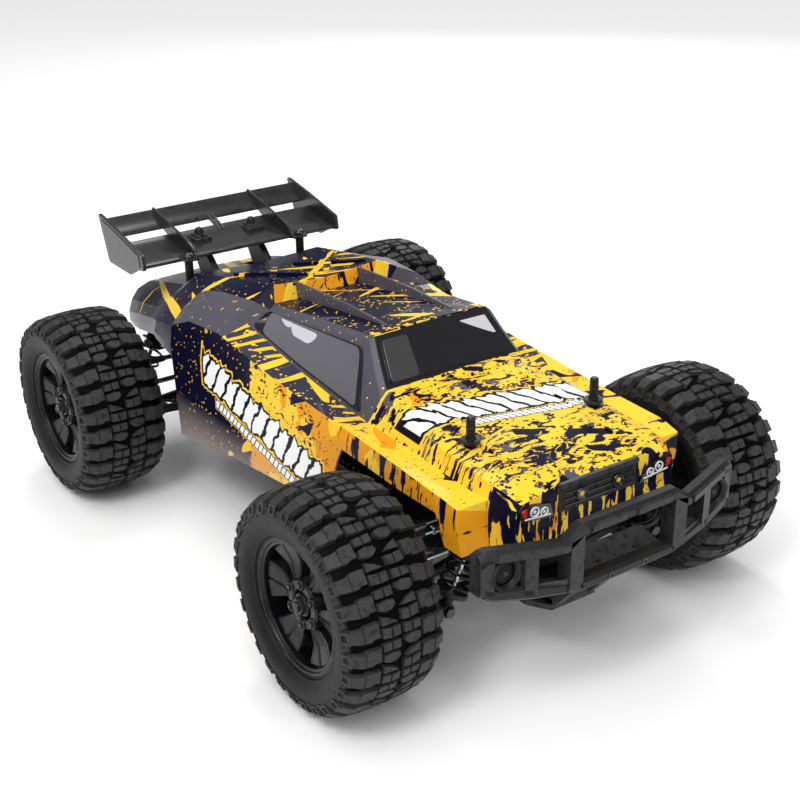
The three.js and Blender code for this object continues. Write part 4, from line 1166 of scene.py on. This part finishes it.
shell_object()
for h, side in SIDE.items():
    patch(f"window_edge_{h}", strip(2, (-85.5, 33), (-68.5, 35.5), 0.93, 0.105, side), 14, 26, 30,
          101, 0.8, [FRAME_P], 4)
    patch(f"window_{h}", strip(2, (-80, 22), (-66.5, 31), 0.90, 0.13, side), 14, 26, 28, 98, 1.2,
          [WINDOW], 4)
    # painted highlights on the side windows
    patch(f"window_painted_highlight_{h}", strip(2, (-21, -2), (-26, 6), 0.46, 0.19, side), 8, 14, 9, 26,
          1.5, [PAINTED_HIGHLIGHT], 4)
    patch(f"window_painted_highlight_tail_{h}", strip(2, (4, 9), (2, 18), 0.34, 0.19, side), 6, 8, 5, 12,
          1.5, [PAINTED_HIGHLIGHT], 2)


def screen(y0, y1, s0, s1):
    def point(t, q):
        y = lerp(y0, y1, t)
        return on_shell(y, 0, lerp(s0, s1, q))
    return point


patch("windscreen", screen(-92.6, -73.2, -0.93, 0.93), 10, 24, 29, 84, 0.6, [SCREEN], 4)
# a lighter grey band down the car's right side of the black windscreen
patch("windscreen_band", screen(-91.8, -74.2, -0.90, -0.48), 8, 6, 26, 19, 0.8,
      [glass("window_grey_band", (0.045, 0.045, 0.048), 0.12)], 2)
# painted highlight on the windscreen
patch("windscreen_painted_highlight", lambda t, q: on_shell(lerp(-83, -74.8, t), 0, lerp(
    lerp(0.84, 0.42, t), 0.88, q)), 8, 10, 12, 20, 0.85, [PAINTED_HIGHLIGHT], 0.8)
patch("roof_brow", screen(-70.8, -63.5, -0.97, 0.97), 5, 28, 7, 82, 0.7, [BROW_P], 1.5)
patch("cowl", screen(-103, -95.4, -0.9, 0.9), 6, 24, 8, 88, 0.6, [HOOD_P], 2)
# two low fins on the roof, rising to the rear
for h, side in SIDE.items():
    fin = Shape()
    secs = []
    for y, high in ((-60, 0.4), (-45, 2.6), (-20, 5.4), (5, 7.6), (30, 9.4), (40, 9.8), (45.5, 9.0)):
        z = on_shell(min(y, 37.5), 0, 0.56).z if y < 41 else 151
        x = side * 24
        secs.append([(x - 1.5, y, z - 1.2), (x + 1.5, y, z - 1.2), (x + 0.9, y, z + high),
                     (x - 0.9, y, z + high)])
    fin.skin(secs)
    show(f"roof_fin_{h}", fin, [GREY_P], "chassis", (), 0.5)
    # raised ribs crossing the bed, and a hood ridge
    patch(f"bed_rib_{h}", strip(0, (47, 55), (92, 100), 0.12, 0.86, side), 12, 6, 50, 8, 2.2,
          [BED_P], 3, bevel=0.8)
    patch(f"bed_rib_cross_{h}", strip(0, (92, 100), (47, 55), 0.16, 0.86, side), 12, 6, 50, 8,
          1.6, [BED_P], 3, bevel=0.8)
    patch(f"hood_ridge_{h}", strip(0, (-205, -112), (-205, -112), 0.66, 0.80, side), 6, 16, 6, 92,
          1.0, [HOOD_P], 2.4, bevel=0.5)

# nose: grille, lamps
nose = Shape()
nose.block((-27, -219.4, 107.6), (27, -217.4, 123.4), 0)
for z in (110.6, 114.2, 117.8):
    nose.block((-24.5, -220.2, z - 0.6), (24.5, -219.2, z + 0.6), 2)
nose.prism([(-28, 121.6), (28, 121.6), (27.2, 124.4), (-27.2, 124.4)], -220.6, -217.6, 1, "y")
for x in (-13, 13):
    nose.lathe([(-221.4, 3.2), (-220.8, 3.9), (-219.0, 3.9), (-219.0, 0.01), (-220.6, 0.01),
                (-220.6, 3.0)], 28, 2, "y", (x, 0, 115))
    nose.lathe([(-221.0, 1.5), (-219.4, 1.7), (-219.4, 0.01), (-221.2, 0.01)], 24, 3, "y",
               (x, 0, 115.2))
show("nose_grille", nose, [DARK, MOULDED, FRAME_P, glass("lamp_amber", (0.8, 0.5, 0.02))],
     "chassis", (), 0.4)
# white for the lamp rings and their centres, and for a painted highlight line
LAMP_AND_HIGHLIGHT = glass("lamp_white_and_painted_highlight", (0.85, 0.86, 0.88), 0.08)
RED = glass("lamp_red", (0.62, 0.03, 0.012), 0.08)
for h, side in SIDE.items():
    lamp = Shape()
    lamp.prism([(side * 30.6, 107.2), (side * 51.6, 109.2), (side * 54.2, 116.6),
                (side * 51.8, 119.4), (side * 33.4, 115.6)], -219.2, -217.0, 0, "y")
    for x, z, r in ((37.6, 111.9, 2.7), (44.0, 113.6, 3.0)):
        lamp.lathe([(-219.9, r), (-219.9, r - 0.7), (-219.0, r - 0.9), (-218.8, r)], 28, 1, "y",
                   (side * x, 0, z))
        lamp.lathe([(-219.6, r * 0.35), (-218.8, r * 0.35), (-218.8, 0.01), (-219.8, 0.01)], 20, 1,
                   "y", (side * x, 0, z))
    lamp.prism([(side * 49.2, 112), (side * 51.8, 112.6), (side * 53, 116.4), (side * 49.6, 117.2)],
               -219.8, -218.8, 2, "y")
    # painted highlight: a thin white line along the lens's lower edge
    lamp.tube([(side * 33, -219.3, 109.2), (side * 42, -219.4, 110.0), (side * 50.6, -219.4, 110.8)],
              0.5, 8, 1)
    show(f"headlight_{h}", lamp, [FRAME_P, LAMP_AND_HIGHLIGHT, RED], "chassis", (), 0.35)

# ---- body posts --------------------------------------------------
posts = Shape()
posts.block((-47, -170.5, 100), (47, -161, 106), 0)
posts.block((-8, -170.5, 84.3), (8, -161, 101), 0)
for side in (1, -1):
    c = (side * POST_X, POST_Y, 0)
    posts.lathe([(104, 3.6), (118, 2.7), (130.5, 2.5), (132.4, 3.2), (132.6, 5.5), (134.6, 5.5),
                 (134.8, 3.0), (136, 2.5), (146.6, 2.5), (147.5, 1.8), (147.5, 0.01),
                 (104, 0.01)], 28, 0, "z", c)
    posts.lathe([(140.6, 2.6), (141.2, 2.9), (141.8, 2.6), (141.8, 2.2), (140.6, 2.2)], 24, 0, "z", c)
    for a in (0.8, 3.94):  # webs under the post
        posts.block((c[0] - 1, -170, 104), (c[0] + 1, -161.5, 110), 0, 0.6)
show("front_body_posts_v", posts, [BLACK], "chassis", ["front_body_posts"], 0.4)


# ---- wing and its mount -------------------------------------------------------
mount = Shape()
mount.block((-48.5, 146, 100), (48.5, 155, 106), 0)
mount.block((-8, 146, 84.3), (8, 155, 101), 0)
ARCH = [(147, 100), (158, 100), (161, 107), (164.6, 113), (170.6, 121.5), (177, 131), (182, 139),
        (186, 145.6), (188, 149), (188, 151.2), (175, 151.2), (168.6, 148), (161.6, 142.6),
        (155, 136), (151, 127.6), (148.4, 118)]
for side in (1, -1):
    mount.prism(ARCH, side * 19, side * 24, 0, "x")
    mount.prism([(p[0] + (3.2 if i < 9 else -0.9) * 0.25, p[1]) for i, p in enumerate(ARCH)],
                side * 20.4, side * 22.6, 0, "x")
    mount.block((side * 15, 175, 148.6), (side * 28, 188, 151.2))
    mount.lathe([(104, 4.4), (112, 3.2), (140, 3.0), (149.3, 3.0), (149.3, 0.01), (104, 0.01)],
                28, 0, "z", (side * ROD_X, ROD_Y, 0))
show("wing_mount_v", mount, [BLACK], "chassis", ["wing_mount"], 0.5)


def smooth_loop(points, steps=4, sharp=()):
    """Rounds an outline with a closed curve through its points, except at the sharp ones."""
    n, out = len(points), []
    for i in range(n):
        p0, p1, p2, p3 = (Vector(points[(i + j) % n]) for j in (-1, 0, 1, 2))
        m1 = Vector((0, 0)) if i in sharp else (p2 - p0) / 2
        m2 = Vector((0, 0)) if (i + 1) % n in sharp else (p3 - p1) / 2
        if i in sharp:
            m1 = (p2 - p1) * 0.6
        if (i + 1) % n in sharp:
            m2 = (p2 - p1) * 0.6
        for k in range(steps):
            t = k / steps
            out.append(tuple((2 * t**3 - 3 * t**2 + 1) * p1 + (t**3 - 2 * t**2 + t) * m1
                             + (-2 * t**3 + 3 * t**2) * p2 + (t**3 - t**2) * m2))
    return out


WING_HALF = 78
MAIN = smooth_loop([(155, 148.6), (156, 150.6), (164, 152.6), (176, 153.8), (186, 156), (190.4, 158),
                    (191, 156.6), (187, 153.6), (176, 151.5), (165, 150.2), (157, 148.3)], 3, (5, 6))
FLAP = smooth_loop([(200.6, 159.2), (200.2, 161.4), (207, 165.4), (214.5, 170.6), (216, 169.4),
                    (208, 163.4)], 3, (3, 4))
PLATE = [(219.6, 172.4), (218.6, 173.5), (214, 173), (190, 168), (153.6, 159.4), (152.1, 158),
         (150.5, 149.8), (151.6, 148.5), (160, 147.2), (165, 144.6), (173.3, 140.2), (205.8, 140.6),
         (208, 141.8)]
FIN = smooth_loop([(150, 149.6), (149.4, 153), (158, 158.5), (176, 163.6), (196, 168), (214, 172.2),
                   (215.5, 169.6), (197, 159), (176, 152), (158, 148.6)], 3, (0, 5, 6))
wing = Shape()
wing.prism(MAIN, -WING_HALF, WING_HALF)
wing.prism(FLAP, -WING_HALF, WING_HALF)
for side in (1, -1):
    wing.prism(PLATE, side * 77.8, side * 80.2, 0, "x")
    inner = [(lerp(187, p[0], 0.88), lerp(156, p[1], 0.84)) for p in PLATE]
    wing.prism(inner, side * 80.0, side * 80.7, 0, "x", 0.985)
    wing.prism(FIN, side * 38.6, side * 40.4, 0, "x")
    wing.block((side * 39, 146.5, 149.7), (side * 50, 160, 151.6))
    wing.lathe([(151, 3.9), (153.2, 3.9), (154.6, 2.8), (155.2, 1.4), (155.2, 0.01), (151, 0.01)],
               28, 0, "z", (side * ROD_X, ROD_Y, 0))
    x = side * STRUT_X
    wing.block((x - 7, 171.5, 151.5), (x + 7, 186, 156.0), 0, 0.95)
    wing.block((x - 4.8, 174.2, 154), (x + 4.8, 183.8, 157.6), 0, 0.9)
    wing.lathe([(156, 3.4), (159.6, 3.3), (161.6, 2.5), (162.4, 1.2), (162.4, 0.01), (156, 0.01)],
               28, 1, "z", (x, 179, 0))
for x in (-1.6, 1.6):  # bracket that ties the flap to the main blade
    wing.prism([(184, 153.6), (190, 156), (203, 160.6), (203, 163.2), (190, 158.6), (184, 156.2)],
               x - 1.0, x + 1.0, 0, "x")
show("wing_v", wing, [WING_P, BLACK], "chassis", ["wing"], 0.4)


# ---- bumper ---------------------------------------------------------------------
BUMPER_Y, STRAIGHT, SWEEP = -245, 44, 0.3    # front face, half the straight part, slope beyond it


def sweep(x):
    """How far back the bumper's front face is, at x."""
    return 0 if abs(x) < STRAIGHT else (abs(x) - STRAIGHT) * SWEEP


def rail(s, stations, depth, chamfer=1.8):
    """A chamfered beam across the car. Each station: x, low z, high z, extra set-back."""
    sections = []
    for x, z0, z1, *back in stations:
        y = BUMPER_Y + sweep(x) + (back[0] if back else 0)
        c = min(chamfer, (z1 - z0) * 0.3)
        sections.append([(x, y, z0 + c), (x, y + c, z0), (x, y + depth - c, z0),
                         (x, y + depth, z0 + c), (x, y + depth, z1 - c), (x, y + depth - c, z1),
                         (x, y + c, z1), (x, y, z1 - c)])
    s.skin(sections)


def mirrored(stations):
    return sorted([(-p[0], *p[1:]) for p in stations] + list(stations))


bumper = Shape()
rail(bumper, mirrored([(29, 106, 114), (33, 105.6, 114), (38, 102, 110.4), (43, 99.2, 107.2),
                       (60, 99.6, 108.2), (84, 101, 110), (87, 99, 109), (89, 97.4, 107.6)]), 9, 2.2)
rail(bumper, mirrored([(30, 74, 81), (33, 74.2, 81.2), (60, 77, 85), (80, 79.6, 87.8),
                       (84, 81, 89), (86, 82.4, 90)]), 9, 1.8)
rail(bumper, mirrored([(24, 72.6, 75.6, 2.4), (30, 73, 76, 2.2)]), 9, 0.8)
for side in (1, -1):
    for a, b, z in ((32, 41, ((75, 110), (76, 108))), (58.6, 65.6, ((78, 106), (79, 106))),
                    (81.4, 88.6, ((82, 107), (84, 106)))):
        rail(bumper, sorted([(side * a, *z[0]), (side * b, *z[1])]), 9 if a > 70 else 10, 1.8)
    rail(bumper, sorted([(side * 64, 79, 106, 7), (side * 84, 82, 106, 7)]), 3, 0.6)
    # sloped floor of the square duct between the struts
    bumper.put([(side * 41, -236, 79.4), (side * 59, -233, 81), (side * 59, -243.4 + 4.6, 85.6),
                (side * 41, -243.4, 84.6), (side * 41, -236, 77), (side * 59, -233, 78.6),
                (side * 59, -242 + 4.6, 79), (side * 41, -243, 77.4)],
               [(0, 1, 2, 3), (7, 6, 5, 4), (0, 4, 5, 1), (1, 5, 6, 2), (2, 6, 7, 3), (3, 7, 4, 0)])
    # fog lamp in a round recess
    cx, cz = side * 74, 94.2
    y = BUMPER_Y + sweep(74)
    bumper.lathe([(y + 1.2, 7.6), (y + 0.6, 8.8), (y + 8, 8.8), (y + 8, 6.6), (y + 3, 6.4)], 32, 0,
                 "y", (cx, 0, cz))
    bumper.lathe([(y + 3.2, 0.01), (y + 3.0, 3.0), (y + 3.6, 5.4), (y + 4.4, 6.2), (y + 8, 6.2),
                  (y + 8, 0.01)], 32, 2, "y", (cx, 0, cz))
    bumper.lathe([(y + 2.4, 1.4), (y + 3.2, 2.0), (y + 4, 2.0), (y + 4, 0.01), (y + 2.2, 0.01)],
                 20, 0, "y", (cx, 0, cz))
    # braces to the chassis, with a rib on the outside
    brace = [(-237, 80), (-236, 74), (-207, 39.8), (-192, 39.8), (-192, 43), (-203, 43)]
    bumper.prism(brace, side * 10, side * 16, 0, "x")
    bumper.prism([(-237, 84), (-236, 79), (-206, 44), (-203, 46)], side * 11.6, side * 14.4, 0, "x")
    bumper.screw((side * 12, -244.6, 77.4), (0, -1, 0), 2.0, 0.9, 1, 1)
    # bevelled pad on the raised middle and on the ends
    rail(bumper, sorted([(side * 4, 107.6, 112.4, -0.9), (side * 28, 107.6, 112.4, -0.9)]), 3, 0.7)
    rail(bumper, sorted([(side * 46, 101.2, 105.8, -0.8), (side * 80, 102.6, 107.8, -0.8)]), 3, 0.7)
bumper.block((-16, -205, 39.8), (16, -192, 43), 0)
# tray behind the lower rail
bumper.put([(x, y, z + t) for t in (0, 2.2) for x, y, z in (
    (-30, -243, 76), (30, -243, 76), (27, -225, 84), (-27, -225, 84))], BOX_FACES)
for side in (1, -1):
    bumper.screw((side * 6, -198.5, 43), (0, 0, 1), 2.6, 1.4, 1, 1)
show("front_bumper_v", bumper, [MOULDED, SCREW, DARK], "chassis",
     ["front_bumper"], 0.45)

# ---- parts kept from the CAD: finish, softened edges, fasteners ------------------
WRAP = plastic("battery_wrap", (0.02, 0.05, 0.11), 0.22, 0.4, 0.1, 0.2, coat=0.5)
COARSE, FINE = 0.6, 0.3     # widths of the softened edges
KEPT = {"chassis_plate": (BLACK, COARSE), "front_gearbox": (BLACK, FINE),
        "rear_gearbox": (BLACK, FINE), "front_shock_tower": (BLACK, COARSE),
        "rear_shock_tower": (BLACK, COARSE), "battery": (WRAP, COARSE), "motor": (CAN, COARSE),
        "speed_controller": (BLACK, COARSE), "steering_servo": (BLACK, COARSE),
        "servo_horn": (MOULDED, COARSE), "steering_link": (BLACK, COARSE),
        "centre_drive": (BLACK, FINE), "motor_pinion": (STEEL, FINE),
        "front_differential": (STEEL, FINE), "rear_differential": (STEEL, FINE)}
for name, (look, width) in KEPT.items():
    o = frame["nodes"][name]
    o.data.materials.clear()
    o.data.materials.append(look)
    soften(o, width, 35)
    o.modifiers.new("normals", "WEIGHTED_NORMAL").keep_sharp = True

under = Shape()
for x, y in ((14, -195), (-14, -195), (18, -168), (-18, -168), (18, -140), (-18, -140), (16, -107),
             (27, 14), (-27, 14), (-40, 76), (2, 76), (18, 136), (-18, 136), (18, 166), (-18, 166),
             (14, 192), (-14, 192), (44, -70), (-44, -70), (44, 78), (-44, 60)):
    under.lathe([(35.4, 2.6), (35.2, 1.4), (35.6, 1.3), (35.6, 0.01), (36.6, 0.01), (36.6, 2.9)],
                20, 0, "z", (x, y, 0))
show("under_screws", under, [SCREW], "chassis", (), 0)

top = Shape()
for e in (-1, 1):
    for x in (-13, 13):
        for w in (-11, 12.6):
            top.screw((x, e * (BASE + w), 84), (0, 0, 1), 2.2, 1.3, 0, 0)
    for x, z in ((-14, 80), (14, 80), (-14, 60), (14, 60)):
        top.screw((x, e * (BASE + 20), z), (0, e, 0), 2.3, 1.3, 0, 0)
    for x in (-46, 46):
        top.screw((x, e * (BASE + 36), 114), (0, e, 0), 2.7, 1.3, 0, 0)
show("top_screws", top, [SCREW], "chassis", (), 0)

fins = Shape()  # cooling fins of the speed controller, motor end bell, servo lid
for k in range(8):
    fins.block((-42, -54 + 5.6 * k, 65.6), (-16, -52 + 5.6 * k, 68.4), 0)
for k in range(10):
    t = TAU * k / 10
    fins.prism([(-27 + r * math.cos(t + a), 70.9 + r * math.sin(t + a))
                for r, a in ((8, -0.12), (15, -0.10), (15, 0.10), (8, 0.12))], 19.2, 20.4, 0, "y")
fins.block((7, -108, 76), (25, -90, 76.8), 0)
show("electric_details", fins, [BLACK], "chassis", (), 0.3)

leads = Shape()
for k, (mat, z) in enumerate(((0, 60), (1, 56))):
    leads.tube([(29 + 4 * k, -63, z), (27 + 4 * k, -71, z + 4), (12, -78 + 5 * k, 70.5),
                (0, -78 + 5 * k, 72), (-12, -77 + 5 * k, 70), (-22 - 5 * k, -70 + 2 * k, z + 4),
                (-24 - 5 * k, -61, 54)], 1.6, 10, mat)
    leads.tube([(-22 - 8 * k, -9, 54), (-22 - 8 * k, 2, 58), (-24 - 6 * k, 10, 68),
                (-25 - 4 * k, 17, 72)], 1.5, 10, mat)
leads.tube([(16, -88, 66), (10, -86.5, 70.5), (0, -86, 71), (-10, -84, 69), (-16, -72, 62),
            (-16, -60, 55)], 1.2, 8, 2)
show("leads", leads, [plastic("lead_red", (0.5, 0.01, 0.01), 0.35), BLACK,
                      plastic("lead_brown", (0.08, 0.03, 0.01), 0.4)], "chassis", (), 0)

# ---- floor and light ----------------------------------------------------------------
plane = bpy.data.meshes.new("floor")
WIDE = 40     # metres, half the floor
plane.from_pydata([(-WIDE, -WIDE, 0), (WIDE, -WIDE, 0), (WIDE, WIDE, 0), (-WIDE, WIDE, 0)], [],
                  [(0, 1, 2, 3)])
floor = add_object("floor", plane)
g = Graph("floor")
plane.materials.append(g.finish(Base_Color=(0.96, 0.96, 0.96), Roughness=0.8))

world = bpy.data.worlds.new("studio")
bpy.context.scene.world = world
world.use_nodes = True
world.node_tree.nodes["Background"].inputs[0].default_value = (1, 1, 1, 1)
world.node_tree.nodes["Background"].inputs[1].default_value = 0.30
bpy.context.scene.view_settings.view_transform = "Standard"
centre = Vector((0, 0, 0.07))
sun = bpy.data.lights.new("sky_sheet", "SUN")
sun.energy, sun.angle = 1.9, math.radians(70)
sheet = add_object("sky_sheet", sun)
sheet.rotation_euler = (math.radians(14), math.radians(-22), 0)
area("key", Vector((-0.9, -0.5, 1.3)), centre, 0.5, 7)
area("front", Vector((0.3, -1.6, 0.7)), centre, 0.5, 4)
area("top", Vector((0.3, 0.7, 1.5)), centre, 0.6, 6)
area("rear", Vector((1.2, 1.2, 0.7)), centre, 0.5, 4)
